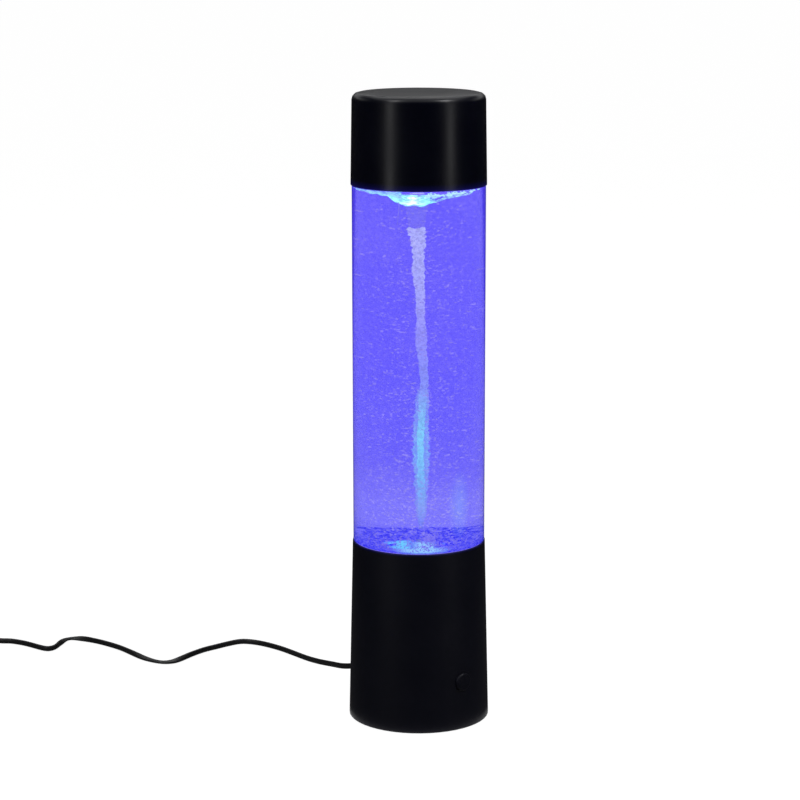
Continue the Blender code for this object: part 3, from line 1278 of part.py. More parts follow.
def cord_and_coil():
    start, start_way, _, _ = coil_ends()
    coil_mouth = start - start_way * CORD_DIAMETER
    approach = [coil_mouth - start_way * (CORD_DIAMETER * 3), coil_mouth - start_way * SEAT_GAP]
    relief_tip = RELIEF_TIP_REACH + SEAT_GAP
    route = [(0, relief_tip, CORD_EXIT_Z), *CORD_ROUTE, *approach]
    cord_points = smooth_points(route, CORD_POINT_SPACING)
    tube("cord", cord_points, CORD_DIAMETER / 2, CORD_PLASTIC)
    turns = coil_points()
    tube("cord_coil", turns, CORD_DIAMETER / 2, CORD_PLASTIC, 1)
    print(f"least gap between the coil's turns: {least_gap(turns, COIL_POINTS):.5f} m")
    print(f"cord length: {path_length(cord_points) + path_length(turns):.4f} m")


def coil_tie():
    """A strap round the coil's bundle, as a rounded loop that stands across the turns."""
    half = TIE_WIDTH / 2
    inner_r = math.sqrt(COIL_INNER_RADIUS**2 - half**2) - CORD_DIAMETER / 2 - SEAT_GAP
    outer_r = COIL_OUTER_RADIUS + CORD_DIAMETER / 2 + SEAT_GAP
    low = FLOOR_CLEARANCE + TIE_THICKNESS
    high = COIL_HIGH_Z + CORD_DIAMETER / 2 + SEAT_GAP
    inner_corner = CORD_DIAMETER / 4
    inner = rounded_rectangle(inner_r, outer_r, low, high, inner_corner)
    outer = rounded_rectangle(
        inner_r - TIE_THICKNESS,
        outer_r + TIE_THICKNESS,
        low - TIE_THICKNESS,
        high + TIE_THICKNESS,
        inner_corner + TIE_THICKNESS,
    )
    tie = flat_plate("coil_tie", [outer, inner], TIE_WIDTH, RUBBER)
    across = Matrix.Rotation(math.radians(90), 4, "X")
    tie.matrix_world = Matrix.Translation((*COIL_CENTRE, 0)) @ Matrix.Rotation(TIE_ANGLE, 4, "Z") @ across


def rounded_rectangle(left, right, low, high, corner):
    points = arc((right - corner, high - corner), corner, 0, 90, 2)
    points += arc((left + corner, high - corner), corner, 90, 180, 2)
    points += arc((left + corner, low + corner), corner, 180, 270, 2)
    points += arc((right - corner, low + corner), corner, 270, 360, 2)
    return points


def plug_frame():
    """The plug's own axes: X runs on from the cord's end, and the origin is the plug's rear face."""
    end, way = coil_points()[-1], coil_ends()[3]
    turn = math.atan2(way.y, way.x)
    return Matrix.Translation(end + way * SEAT_GAP) @ Matrix.Rotation(turn, 4, "Z")


def plug():
    frame = plug_frame()
    length = PLUG_BODY_SIZE[0]
    body = block("plug_body", PLUG_BODY_SIZE, (0, 0, 0), CORD_PLASTIC, fillet=PLUG_BODY_FILLET, rounds=2)
    body.matrix_world = frame @ Matrix.Translation((PLUG_NECK_LENGTH + length / 2, 0, 0))
    neck_outline = [
        (0, PLUG_NECK_LENGTH + PLUG_BODY_FILLET),
        (PLUG_NECK_RADII[1], PLUG_NECK_LENGTH + PLUG_BODY_FILLET),
        (PLUG_NECK_RADII[0], 0),
        (0, 0),
    ]
    neck = turned("plug_neck", neck_outline, None, SMALL_STEPS, CUTTERS)
    neck.matrix_world = frame @ Matrix.Rotation(math.radians(90), 4, "Y")
    join(body, neck)
    settle(body)
    shell_back = PLUG_NECK_LENGTH + length + SEAT_GAP
    shell_middle = shell_back + PLUG_SHELL_SIZE[0] / 2
    shell = block("plug_shell", PLUG_SHELL_SIZE, (0, 0, 0), STEEL)
    shell.matrix_world = frame @ Matrix.Translation((shell_middle, 0, 0))
    hollow_size = (
        PLUG_SHELL_SIZE[0],
        PLUG_SHELL_SIZE[1] - 2 * PLUG_SHELL_WALL,
        PLUG_SHELL_SIZE[2] - 2 * PLUG_SHELL_WALL,
    )
    hollow = helper_block("plug_hollow", hollow_size, (0, 0, 0))
    hollow.matrix_world = frame @ Matrix.Translation((shell_middle + PLUG_SHELL_WALL, 0, 0))
    cut(shell, hollow)
    for side in (-1, 1):
        window = helper_block("plug_window", (PLUG_WINDOW, PLUG_WINDOW, PLUG_SHELL_SIZE[2]), (0, 0, 0))
        place = (shell_middle, side * PLUG_WINDOW_OFFSET, PLUG_SHELL_SIZE[2] / 2)
        window.matrix_world = frame @ Matrix.Translation(place)
        cut(shell, window)
    settle(shell)
    tongue_back = shell_back + PLUG_SHELL_WALL + SEAT_GAP
    tongue_front = shell_back + PLUG_SHELL_SIZE[0] - PLUG_TONGUE_SETBACK
    tongue_size = (tongue_front - tongue_back, hollow_size[1] - 2 * SEAT_GAP, PLUG_TONGUE_THICKNESS)
    tongue_z = -hollow_size[2] / 2 + SEAT_GAP + PLUG_TONGUE_THICKNESS / 2
    tongue = block("plug_tongue", tongue_size, (0, 0, 0), WHITE_PLASTIC)
    tongue.matrix_world = frame @ Matrix.Translation(((tongue_back + tongue_front) / 2, 0, tongue_z))
    settle(tongue)


def build_lamp():
    base_housing()
    bottom_cover()
    feet()
    cover_screws()
    tank_tube()
    tank_floor()
    seal("floor_seal", FLOOR_TOP_Z - SEAL_BELOW_FACE)
    seat_screws()
    tank_lid()
    seal("lid_seal", LID_UNDER_Z - SEAL_BELOW_FACE)
    fill_plug()
    water_fill()
    impeller()
    magnet_carrier()
    motor_can()
    motor_bracket()
    bracket_screws()
    led_board()
    control_board()
    power_button()
    power_switch()
    top_cap()
    strain_relief()
    inner_leads()
    cord_and_coil()
    coil_tie()
    plug()


build_lamp()
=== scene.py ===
"""The looks of the water vortex lamp: finishes, lit water with its vortex, and the cord on the table.

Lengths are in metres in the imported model's own frame: +Z up, the lamp's axis at x = y = 0, the push button
facing -Y and the cord leaving at +Y. Places said to be aside and ahead lie to the right and to the front of
the axis, as the camera sees it.
"""

import json
import math
import random

import bmesh
import bpy
from mathutils import Matrix, Vector

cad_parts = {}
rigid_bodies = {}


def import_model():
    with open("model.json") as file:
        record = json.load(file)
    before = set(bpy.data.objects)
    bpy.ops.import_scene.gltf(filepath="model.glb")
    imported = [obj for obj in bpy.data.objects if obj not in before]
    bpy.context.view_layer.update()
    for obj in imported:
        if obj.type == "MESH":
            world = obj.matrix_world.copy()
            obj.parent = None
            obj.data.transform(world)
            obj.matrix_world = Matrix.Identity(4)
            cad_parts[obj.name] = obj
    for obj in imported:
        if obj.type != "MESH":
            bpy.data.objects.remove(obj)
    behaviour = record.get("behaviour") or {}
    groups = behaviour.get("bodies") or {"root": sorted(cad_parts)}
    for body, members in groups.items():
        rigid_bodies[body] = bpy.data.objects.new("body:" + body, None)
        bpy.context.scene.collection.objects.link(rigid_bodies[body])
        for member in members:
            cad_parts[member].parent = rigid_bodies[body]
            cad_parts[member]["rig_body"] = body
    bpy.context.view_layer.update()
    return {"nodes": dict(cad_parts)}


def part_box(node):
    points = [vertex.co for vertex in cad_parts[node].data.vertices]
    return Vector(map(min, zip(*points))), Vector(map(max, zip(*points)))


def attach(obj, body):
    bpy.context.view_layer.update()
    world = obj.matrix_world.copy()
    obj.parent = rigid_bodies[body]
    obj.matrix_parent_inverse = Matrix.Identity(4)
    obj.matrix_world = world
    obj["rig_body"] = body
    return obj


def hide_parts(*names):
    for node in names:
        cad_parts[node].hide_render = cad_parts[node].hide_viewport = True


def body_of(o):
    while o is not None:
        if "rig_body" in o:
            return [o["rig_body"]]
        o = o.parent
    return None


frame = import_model()

# Camera, from the photograph's perspective
PHOTO_SIDE = 800
FOCAL_PIXELS = 2519.6
AXIS_PIXEL_X = 418.85
CAMERA_DISTANCE = 1.307
CAMERA_HEIGHT = 0.440
CAMERA_AZIMUTH = math.radians(-39)
CAMERA_PITCH = math.radians(11.556)
SENSOR = 36.0

# Floor, backdrop and the dark cloth round the lamp
SEEN_RAYS = ("Is Camera Ray", "Is Glossy Ray", "Is Transmission Ray")
ROOM_LIGHT = 0.3
FLOOR_RADIUS = 14.0
FLOOR_STEPS = 96
FLOOR_Z = -0.0002
FLOOR_SEEN_COLOR = (0.16, 0.16, 0.16)
FLOOR_GLOW = (0.945, 0.945, 0.945)
FLAG_RADIUS = 1.3
FLAG_LOW_Z = 0.0004
FLAG_HEIGHTS = (0.65, 0.90, 1.60)
FLAG_STEPS = 96
FLAG_PAST_BASE = 0.003
FLAG_GAP_ROW = 2
FLAG_GAP_SHARE = 0.3
# A faint painted glow on the cloth near the lamp, which the base's edges mirror as a dim sheen
TABLE_GLOW = 0.05
TABLE_GLOW_REACH = (0.22, 0.40)

# Softboxes: name, azimuth to the right of the camera in degrees, distance, height, height that it faces,
# width, length and radiance
FRONT_SOFTBOXES = (
    ("softbox_left", -49, 1.0, 0.65, 0.65, 0.14, 1.22, 3.6),
    ("softbox_right", 54, 1.0, 0.65, 0.65, 0.14, 1.22, 3.1),
    ("softbox_upper_left", -54, 0.80, 1.25, 0.33, 0.24, 0.40, 10.0),
    ("softbox_upper_right", 61, 0.80, 1.25, 0.33, 0.22, 0.40, 21.0),
)
TOP_SOFTBOX = ("softbox_top", 180, 0.9, 1.5, 0.33, 1.2, 0.8, 1.2)

# Cord, with the same route as the solid: x, y, z and how far the flat cord lies over
CORD_WIDTH = 0.0032
SEAT_GAP = 0.0003
CORD_ROUTE = (
    (0.0000, 0.0530, 0.0133, 0.0),
    (0.0001, 0.0590, 0.0114, 0.0),
    (0.0006, 0.0690, 0.0088, 0.0),
    (0.0022, 0.0820, 0.0065, 0.0),
    (0.0036, 0.0959, 0.0043, 0.0),
    (0.0054, 0.1099, 0.0026, 0.0),
    (0.0067, 0.1236, 0.0018, 0.0),
    (0.0066, 0.1352, 0.00165, 0.0),
    (0.0052, 0.1453, 0.00165, 0.0),
    (0.0028, 0.1540, 0.00165, 0.0),
    (-0.0010, 0.1606, 0.00165, 0.0),
    (-0.0050, 0.1632, 0.00165, 0.0),
    (-0.0120, 0.1637, 0.00165, 0.0),
    (-0.0208, 0.1633, 0.00165, 0.0),
    (-0.0295, 0.1628, 0.00165, 0.0),
    (-0.0396, 0.1605, 0.00160, 0.1),
    (-0.0500, 0.1573, 0.00140, 0.4),
    (-0.0560, 0.1567, 0.00110, 0.8),
    (-0.0604, 0.1592, 0.00090, 1.0),
    (-0.0632, 0.1645, 0.00090, 1.0),
    (-0.0650, 0.1730, 0.00110, 0.7),
    (-0.0656, 0.1846, 0.00150, 0.2),
    (-0.0659, 0.1965, 0.00165, 0.0),
    (-0.0674, 0.2077, 0.00165, 0.0),
    (-0.0697, 0.2173, 0.00165, 0.0),
    (-0.0727, 0.2263, 0.00145, 0.3),
    (-0.0764, 0.2325, 0.00095, 1.0),
    (-0.0812, 0.2331, 0.00095, 1.0),
    (-0.0884, 0.2275, 0.00145, 0.3),
    (-0.0950, 0.2222, 0.00165, 0.0),
    (-0.0996, 0.2218, 0.00165, 0.0),
    (-0.1018, 0.2262, 0.00165, 0.0),
    (-0.1032, 0.2330, 0.00165, 0.0),
    (-0.1052, 0.2410, 0.00165, 0.0),
    (-0.1088, 0.2488, 0.00165, 0.0),
    (-0.1136, 0.2536, 0.00165, 0.1),
    (-0.1175, 0.2614, 0.00175, 0.3),
    (-0.1207, 0.2702, 0.00205, 0.4),
)
CORD_STEP = 0.0024
COIL_CENTRE = (-0.1512, 0.2678)
COIL_START_ANGLE = math.radians(51)
COIL_TURNS = 10.25
COIL_MIDDLE_RADIUS = 0.0173
COIL_PITCH = 0.0037
COIL_POINTS = 32
COIL_REVERSE_ROUNDING = math.radians(40)
COIL_LOW_Z = 0.00255
COIL_TAIL = 0.0260
COIL_TAIL_POINTS = 10
COIL_TAIL_LEVEL_SHARE = 0.35
COIL_LEAN = 0.4
PLUG_AXIS_Z = 0.00375
CORD_EXIT_Z = 0.0144
COIL_SMALL_TURN = math.tau / 480
TWIN_SIDES = 8
TWIN_ARC = math.radians(68)
CORD_SHARP_FROM = math.radians(60)

# Smoothing
SPLINE_STEPS = 20
WELD = 0.000001
SHARP_FROM = math.radians(35)
SMOOTH_WITHIN = math.radians(32)
TURNED_WITHIN = math.radians(8)
LEVEL_LEAST = 0.05
ON_AXIS = 10 * WELD

# Tank and water, fitted to the solids
WALL_CONTACT = 0.00005
FLOOR_CONTACT = 0.0002
BASE_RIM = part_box("base_housing")[1][2]
CAP_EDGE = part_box("top_cap")[0][2]
FLOOR_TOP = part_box("tank_floor")[1][2]
STILL_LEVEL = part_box("water_fill")[1][2]
NECK_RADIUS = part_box("tank_lid")[1][0]
BORE_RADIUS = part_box("water_fill")[1][0] + SEAT_GAP
WATER_RADIUS = BORE_RADIUS + WALL_CONTACT
TUBE_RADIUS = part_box("tank_tube")[1][0]
TUBE_STEPS = 160
TUBE_EDGE = 0.0004
TUBE_EDGE_SHARES = ((1.0, 0.0), (0.3, 0.3), (0.0, 1.0))
TUBE_IOR = 1.21
SHOULDER_LINE = (0.00005, 0.0002)
WATER_IOR = 1.333
# Painted light: the water's violet tint stands in for the LED light's colour, paler near the lit floor
WATER_LIGHT_TINT = (0.07, 0.06, 0.45)
PALE_LIGHT_TINT = (0.16, 0.145, 0.58)
WELL_PAST_IMPELLER = 0.0014
WELL_BELOW_IMPELLER = 0.0015
# Painted glint in the water's glow: its place (aside, ahead, height), reach, flattening and colour
GLINT_PLACE = (0.0205, 0.0240, 0.1220)
GLINT_RADIUS = 0.0075
GLINT_FLATNESS = 0.4
GLINT_COLOR = (0.02, 0.10, 0.0)

# Painted light: the blue that the lit tank leaves on the cap's and the base's edges, painted as a glow in
# their finish: how far up it reaches, and its colour
CAP_GLOW = (0.0035, (0.004, 0.003, 0.070))
BASE_GLOW = (-0.0012, (0.0, 0.0, 0.050))

# The water's surface: a dish round the axis and a climb at the wall
CLIMB_START = 0.0240
CLIMB_WIDTH = 0.0077
CLIMB_RISE = 0.0021
DISH_DEPTH = 0.0090
DISH_CORE = 0.0135
DISH_RISE = 0.0026
DISH_STEPS = 26
SURFACE_LINE_INSET = 0.0006
SURFACE_LINE_DROP = 0.0003
SURFACE_LINE_THICKNESS = 0.00022
SURFACE_LINE_FADE = (-0.001, 0.0005)

# Vortex: the rows are heights, sideways sways and radii in millimetres
MILLIMETRE = 0.001
COLUMN_ROWS = (
    (106.0, 1.0, 1.0),
    (114.0, 1.0, 1.2),
    (125.0, 1.0, 1.4),
    (142.0, 0.7, 1.2),
    (153.0, 0.6, 1.3),
    (164.0, 1.0, 1.3),
    (177.0, 1.6, 1.7),
    (185.0, 2.3, 1.7),
    (190.5, 1.8, 1.6),
    (206.0, 0.9, 1.8),
    (228.0, 0.5, 1.7),
    (243.0, -0.1, 2.1),
    (257.0, -0.3, 2.5),
    (264.0, -0.9, 3.4),
)
HAZE_ROWS = (
    (112.0, 1.0, 1.6),
    (130.0, 1.0, 2.4),
    (153.0, 0.7, 3.1),
    (166.0, 1.0, 2.6),
    (180.0, 1.6, 2.1),
)
COLUMN_STEP = 0.0007
COLUMN_SIDES = 20
COLUMN_NOTCH = 0.0011
COLUMN_NOTCHES = 3
COLUMN_UNEVEN = 0.22
COLUMN_SETTLE = 0.25
COLUMN_SHAKE = 0.0003
COLUMN_BRISTLE = 0.5
HAZE_BRISTLE = 0.6
FUNNEL_MOUTH_RADIUS = 0.0050
FUNNEL_WAIST_RADIUS = 0.0037
FUNNEL_FILM = 0.0002
FUNNEL_FOOT_SHARES = (0.95, 0.88)
FUNNEL_FOOT_LIFT = 0.0006
FUNNEL_STEPS = 64
THREAD_REACH = 0.0085
THREAD_PLACE = (-0.0084, 0.004)
THREAD_SWAY = 0.0003
THREAD_BEND = 5
THREAD_LENGTH = 0.0138
THREAD_FADE = 0.014
THREAD_RADIUS = 0.00022
THREAD_TAPER = 0.6
THREAD_UNEVEN = (0.7, 1.3)
THREAD_STEPS = 28
THREAD_SIDES = 6

# Froth under the dish; a wave is a size, a pace and a shift
FOAM_SPOKES = 144
FOAM_ROUNDS = 40
FOAM_REACH = 0.0312
FOAM_HOLE_SHARE = 0.03
FOAM_BACK = -0.011
FOAM_LEFT = -0.008
FOAM_RIGHT = 0.0062
FOAM_RIGHT_REACH = 0.0125
FOAM_EDGE_WAVES = ((0.0012, 900, 0), (0.0009, 1700, 1))
FOAM_LUMP_WAVES = ((0.0004, 1100, 0), (0.0003, 1500, 0))
FOAM_DROP = 0.0003
FOAM_SWELL = 0.0011
FOAM_SWELL_REACH = 0.014
FOAM_SAG = 0.0016
FOAM_SAG_ASIDE = -0.0072
FOAM_SAG_WIDTH = 0.0034
FOAM_THICKNESS = 0.00015
FOAM_SPOT = (-0.0036, 0.0060)
FOAM_SPOT_DEPTH = 0.0045
FOAM_SPOT_REACH = (0.003, 0.036)
FOAM_RAGGED = 0.008

# Bubbles: aside, ahead and radius of the big ones
BUBBLE_COUNT = 56
BIG_BUBBLES = (
    (0.0085, 0.0050, 0.0030),
    (0.0115, 0.0090, 0.0022),
    (0.0160, 0.0070, 0.0040),
    (0.0190, 0.0110, 0.0032),
    (0.0228, 0.0120, 0.0022),
)
BUBBLE_DROP = 0.0012
BUBBLE_LEAN = -0.42
BUBBLE_TILT = 0.6
BUBBLE_SQUASH = 0.9
BUBBLE_SIDES = 32
BUBBLE_LINE = 0.00013
BUBBLE_FADE = 0.004
SMALL_BUBBLE_TURNS = (8, 83)
SMALL_BUBBLE_REACHES = (0.012, 0.030)
SMALL_BUBBLE_RADII = (0.0004, 0.0015)
SMALL_BUBBLE_SIDES = 14
SMALL_BUBBLE_LINE = 0.00016
SMALL_BUBBLE_DROP = 0.0003

# Glitter in the water and settled on the floor
FLAKE_COUNT = 5200
FLAKE_LENGTH = 0.0009
FLAKE_LEAST_SHARE = 0.35
FLAKE_WIDTH_SHARES = (0.35, 0.70)
FLAKE_TWIST = 0.02
FLAKE_TILT = 0.9
FLAKE_WALL_GAP = 0.0012
FLAKE_SURFACE_GAP = 0.008
FLAKE_CROWDING = 1.35
FLAKE_CORE_SHARE = 0.06
CLEAR_OVER_BED = 0.0100
BED_FLAKE_COUNT = 1700
BED_FLAKE_LIFT = 0.0004
BED_FLAKE_RISE = 0.0046
BED_FLAKE_CROWDING = 1.6
PLUME_SHARE = 0.17
PLUME_ASIDE = (0.0012, 0.0067)
PLUME_AHEAD = (0.012, -0.018)
BED_PAST_IMPELLER = 0.0022
BED_WALL_GAP = 0.0004
BED_SUNK = 0.0001
BED_BACK_HEIGHT = 0.0048
BED_FRONT_HEIGHT = 0.0006
BED_EDGE_HEIGHT = 0.0003
BED_ROUGHNESS = 0.0006
BED_HEAP_SHARES = (0.12, 0.52)
BED_STEPS = 120
BED_RINGS = 12

# Pools of light on the floor: aside, ahead and reach
POOLS = (
    (0.0012, 0.0195, 0.0150),
    (0.0022, 0.0080, 0.0100),
)
CYAN_POOLS = (
    (-0.0065, 0.0080, 0.0080),
    (-0.0072, -0.0050, 0.0070),
)
CYAN_COLOR = (0.13, 0.58, 0.80)
POOL_COLOR = (0.28, 0.58, 0.78)

BLACK = (0.0, 0.0, 0.0)
WHITE = (1.0, 1.0, 1.0)
MATT = {"Specular IOR Level": 0.0, "Roughness": 0.9, "Emission Strength": 1.0}
UNLIT = {**MATT, "Roughness": 1.0, "Base Color": BLACK}

random.seed(7)


# Small helpers
def toward_viewer(aside, ahead):
    """Offsets to the right of and towards the camera's side, as x and y."""
    right = Vector((math.cos(CAMERA_AZIMUTH), math.sin(CAMERA_AZIMUTH)))
    front = Vector((math.sin(CAMERA_AZIMUTH), -math.cos(CAMERA_AZIMUTH)))
    return right * aside + front * ahead


def spoke(turn, reach):
    """A place at a distance from the axis, after a turn from the camera's own side, as x and y."""
    return toward_viewer(reach * math.sin(turn), reach * math.cos(turn))


def turns(steps):
    return [math.tau * i / steps for i in range(steps)]


def smooth_step(share):
    """Eases a share between 0 and 1 at both ends."""
    return share * share * (3 - 2 * share)


def jitter(size):
    """A random value, at most half the size either way."""
    return size * (random.random() - 0.5)


def crowded(low, high, power):
    """A random value between two, and nearer the low one the higher the power is."""
    return low + (high - low) * random.random() ** power


def link_object(name, data):
    obj = bpy.data.objects.new(name, data)
    bpy.context.scene.collection.objects.link(obj)
    return obj


def add_mesh_object(name, shape, material, smooth=True):
    """An object made from a bmesh, which is freed."""
    mesh = bpy.data.meshes.new(name)
    shape.to_mesh(mesh)
    shape.free()
    if smooth:
        mesh.shade_smooth()
    mesh.materials.append(material)
    return link_object(name, mesh)


def add_solid(name, shape, material, smooth=True):
    """A closed mesh object, with its faces turned outwards."""
    bmesh.ops.recalc_face_normals(shape, faces=shape.faces)
    return add_mesh_object(name, shape, material, smooth)


def join_rings(shape, upper, lower, steps):
    for i in range(steps):
        j = (i + 1) % steps
        corners = [upper[i % len(upper)], upper[j % len(upper)], lower[j % len(lower)], lower[i % len(lower)]]
        distinct = list(dict.fromkeys(corners))
        if len(distinct) > 2:
            shape.faces.new(distinct)


def skin(shape, rings, closed=False):
    """Joins each ring of vertices to the next: closed goes back to the first, and open ends are filled."""
    steps = max(map(len, rings))
    following = [*rings[1:], rings[0]] if closed else rings[1:]
    for first, second in zip(rings, following):
        join_rings(shape, first, second, steps)
    if not closed:
        for end in (rings[0], rings[-1]):
            if len(end) > 1:
                shape.faces.new(end)


def level_ring(shape, radius, height, steps, middle=(0, 0)):
    places = [(middle[0] + radius * math.cos(a), middle[1] + radius * math.sin(a)) for a in turns(steps)]
    return [shape.verts.new((*place, height)) for place in places]


def lathe(name, outline, material, steps=TUBE_STEPS):
    """A turned shape about Z, from (radius, height) points that close on themselves or end on the axis."""
    shape = bmesh.new()
    rings = [level_ring(shape, radius, height, steps if radius else 1) for radius, height in outline]
    skin(shape, rings, closed=len(rings[0]) > 1)
    obj = add_solid(name, shape, material)
    obj.data.set_sharp_from_angle(angle=SHARP_FROM)
    return obj


def profile_part(normal, centre):
    """A face normal as (outwards, upwards) from the turning axis, or None where the face isn't turned."""
    level = math.hypot(normal.x, normal.y)
    if level < LEVEL_LEAST:
        return Vector((0.0, math.copysign(1.0, normal.z)))
    out = Vector((centre.x, centre.y)).normalized()
    lined = (normal.x * out.x + normal.y * out.y) / level
    if abs(lined) < math.cos(TURNED_WITHIN):
        return None
    return Vector((math.copysign(level, lined), normal.z))


def turned_normals(mesh):
    """Corner normals that are exact round the axis and blend over small angles along it."""
    parts = [profile_part(face.normal, face.center) for face in mesh.polygons]
    around = [[] for _ in mesh.vertices]
    for face in mesh.polygons:
        for vertex in face.vertices:
            around[vertex].append(face.index)
    normals = [Vector((0, 0, 1))] * len(mesh.loops)
    for face in mesh.polygons:
        own = parts[face.index]
        for corner, vertex in zip(face.loop_indices, face.vertices):
            place = mesh.vertices[vertex].co
            reach = math.hypot(place.x, place.y)
            if own is None or reach < ON_AXIS:
                normals[corner] = face.normal.copy()
                continue
            total = Vector((0.0, 0.0))
            for other in around[vertex]:
                if parts[other] is not None and parts[other].dot(own) > math.cos(SMOOTH_WITHIN):
                    total += parts[other] * mesh.polygons[other].area ** 0.5
            total.normalize()
            normals[corner] = Vector((place.x / reach * total.x, place.y / reach * total.x, total.y))
    return normals


def turned_copy(node, name, material):
    """A turned CAD node's shape again, welded and shaded as one smooth turned surface."""
    source = frame["nodes"][node]
    shape = bmesh.new()
    shape.from_mesh(source.data)
    bmesh.ops.remove_doubles(shape, verts=shape.verts, dist=WELD)
    obj = add_mesh_object(name, shape, material)
    obj.data.normals_split_custom_set(turned_normals(obj.data))
    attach(obj, body_of(source)[0])
    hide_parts(node)
    return obj


def set_inputs(tree, node, inputs):
    """Links a node's inputs, by name or number, to sockets, or sets them to values."""
    for key, value in inputs.items():
        socket = node.inputs[key]
        if isinstance(value, bpy.types.NodeSocket):
            tree.links.new(value, socket)
        else:
            socket.default_value = (*value, 1.0) if socket.type == "RGBA" else value


def add_node(tree, kind, inputs, **settings):
    node = tree.nodes.new(kind)
    for name, value in settings.items():
        setattr(node, name, value)
    set_inputs(tree, node, inputs)
    return node


def smoothing_group():
    """Geometry nodes that weld a CAD node's corners and smooth it, but for its sharp edges."""
    tree = bpy.data.node_groups.new("smooth_curves", "GeometryNodeTree")
    for way in ("INPUT", "OUTPUT"):
        tree.interface.new_socket("Geometry", in_out=way, socket_type="NodeSocketGeometry")
    start = tree.nodes.new("NodeGroupInput").outputs[0]
    plain = add_node(tree, "GeometryNodeRemoveAttribute", {"Geometry": start, "Name": "custom_normal"})
    weld = add_node(tree, "GeometryNodeMergeByDistance", {"Geometry": plain.outputs[0], "Distance": WELD})
    smooth = add_node(tree, "GeometryNodeSetShadeSmooth", {"Geometry": weld.outputs[0]})
    angle = tree.nodes.new("GeometryNodeInputMeshEdgeAngle").outputs["Unsigned Angle"]
    above = add_node(tree, "FunctionNodeCompare", {0: angle, 1: SMOOTH_WITHIN}, operation="GREATER_THAN")
    edges = {"Geometry": smooth.outputs[0], "Selection": above.outputs["Result"], "Shade Smooth": False}
    sharp = add_node(tree, "GeometryNodeSetShadeSmooth", edges, domain="EDGE")
    add_node(tree, "NodeGroupOutput", {0: sharp.outputs[0]})
    return tree


def smooth_shown_nodes():
    """Smooths the CAD nodes that still show, with a modifier."""
    group = smoothing_group()
    for node in frame["nodes"].values():
        if not node.hide_render:
            node.modifiers.new("smooth_curves", "NODES").node_group = group


def spline_through(route, step):
    """Even points along a Catmull-Rom curve; the first three numbers of each point are a place."""
    first, last = Vector(route[0]), Vector(route[-1])
    knots = [2 * first - Vector(route[1]), *map(Vector, route), 2 * last - Vector(route[-2])]
    fine = []
    for a, b, c, d in zip(knots, knots[1:], knots[2:], knots[3:]):
        for i in range(SPLINE_STEPS):
            t = i / SPLINE_STEPS
            square, cube = 2 * a - 5 * b + 4 * c - d, 3 * b - a - 3 * c + d
            fine.append(0.5 * (2 * b + (c - a) * t + square * t**2 + cube * t**3))
    fine.append(last)
    reach = [0]
    for a, b in zip(fine, fine[1:]):
        reach.append(reach[-1] + (b.to_3d() - a.to_3d()).length)
    count = max(2, round(reach[-1] / step))
    points = []
    index = 0
    for i in range(count):
        wanted = reach[-1] * i / count
        while reach[index + 1] < wanted:
            index += 1
        share = (wanted - reach[index]) / (reach[index + 1] - reach[index])
        points.append(fine[index].lerp(fine[index + 1], share))
    return [*points, last]


# Materials
def new_material(name, inputs):
    """A material, its node tree and its shader, some of whose inputs get values."""
    material = bpy.data.materials.new(name)
    material.use_nodes = True
    tree = material.node_tree
    shader = tree.nodes["Principled BSDF"]
    set_inputs(tree, shader, inputs)
    return material, tree, shader


def scaled(color, share):
    return tuple(share * part for part in color)


def object_place(tree, stretch=None):
    """The shaded point in object space, so that what follows it stays on the piece from every side."""
    place = tree.nodes.new("ShaderNodeTexCoord").outputs["Object"]
    if stretch is None:
        return place
    return add_node(tree, "ShaderNodeMapping", {"Vector": place, "Scale": stretch}).outputs["Vector"]


def object_noise(tree, scale, detail, stretch=None):
    inputs = {"Vector": object_place(tree, stretch), "Scale": scale, "Detail": detail}
    return add_node(tree, "ShaderNodeTexNoise", inputs).outputs["Fac"]


def distance_from(tree, centre, place):
    inputs = {0: place, 1: centre}
    return add_node(tree, "ShaderNodeVectorMath", inputs, operation="DISTANCE").outputs["Value"]


def calculate(tree, operation, *values):
    return add_node(tree, "ShaderNodeMath", dict(enumerate(values)), operation=operation).outputs[0]


def largest(tree, values):
    result = values[0]
    for value in values[1:]:
        result = calculate(tree, "MAXIMUM", result, value)
    return result


def spread(tree, source, low, high, from_low=0.0, from_high=1.0):
    """A value's own range spread over another, with nothing past its ends."""
    inputs = {"Value": source, "From Min": from_low, "From Max": from_high, "To Min": low, "To Max": high}
    return add_node(tree, "ShaderNodeMapRange", inputs).outputs["Result"]


def ramp(tree, source, stops):
    """A colour ramp from (position, (r, g, b)) stops."""
    node = add_node(tree, "ShaderNodeValToRGB", {"Fac": source})
    elements = node.color_ramp.elements
    while len(elements) < len(stops):
        elements.new(0.5)
    for element, (position, color) in zip(elements, stops):
        element.position = position
        element.color = (*color, 1.0)
    return node.outputs["Color"]


def height_share(tree, low, high):
    """0 at the low height of the model and 1 at the high one."""
    split = add_node(tree, "ShaderNodeSeparateXYZ", {"Vector": object_place(tree)})
    return spread(tree, split.outputs["Z"], 0.0, 1.0, low, high)


def blend_color(tree, factor, first, second, mode="MIX"):
    inputs = {0: factor, 6: first, 7: second}
    return add_node(tree, "ShaderNodeMix", inputs, data_type="RGBA", blend_type=mode).outputs[2]


def bump(tree, shader, height, depth):
    """A fine relief on a shader."""
    relief = add_node(tree, "ShaderNodeBump", {"Height": height, "Distance": depth, "Strength": 0.5})
    set_inputs(tree, shader, {"Normal": relief.outputs["Normal"]})


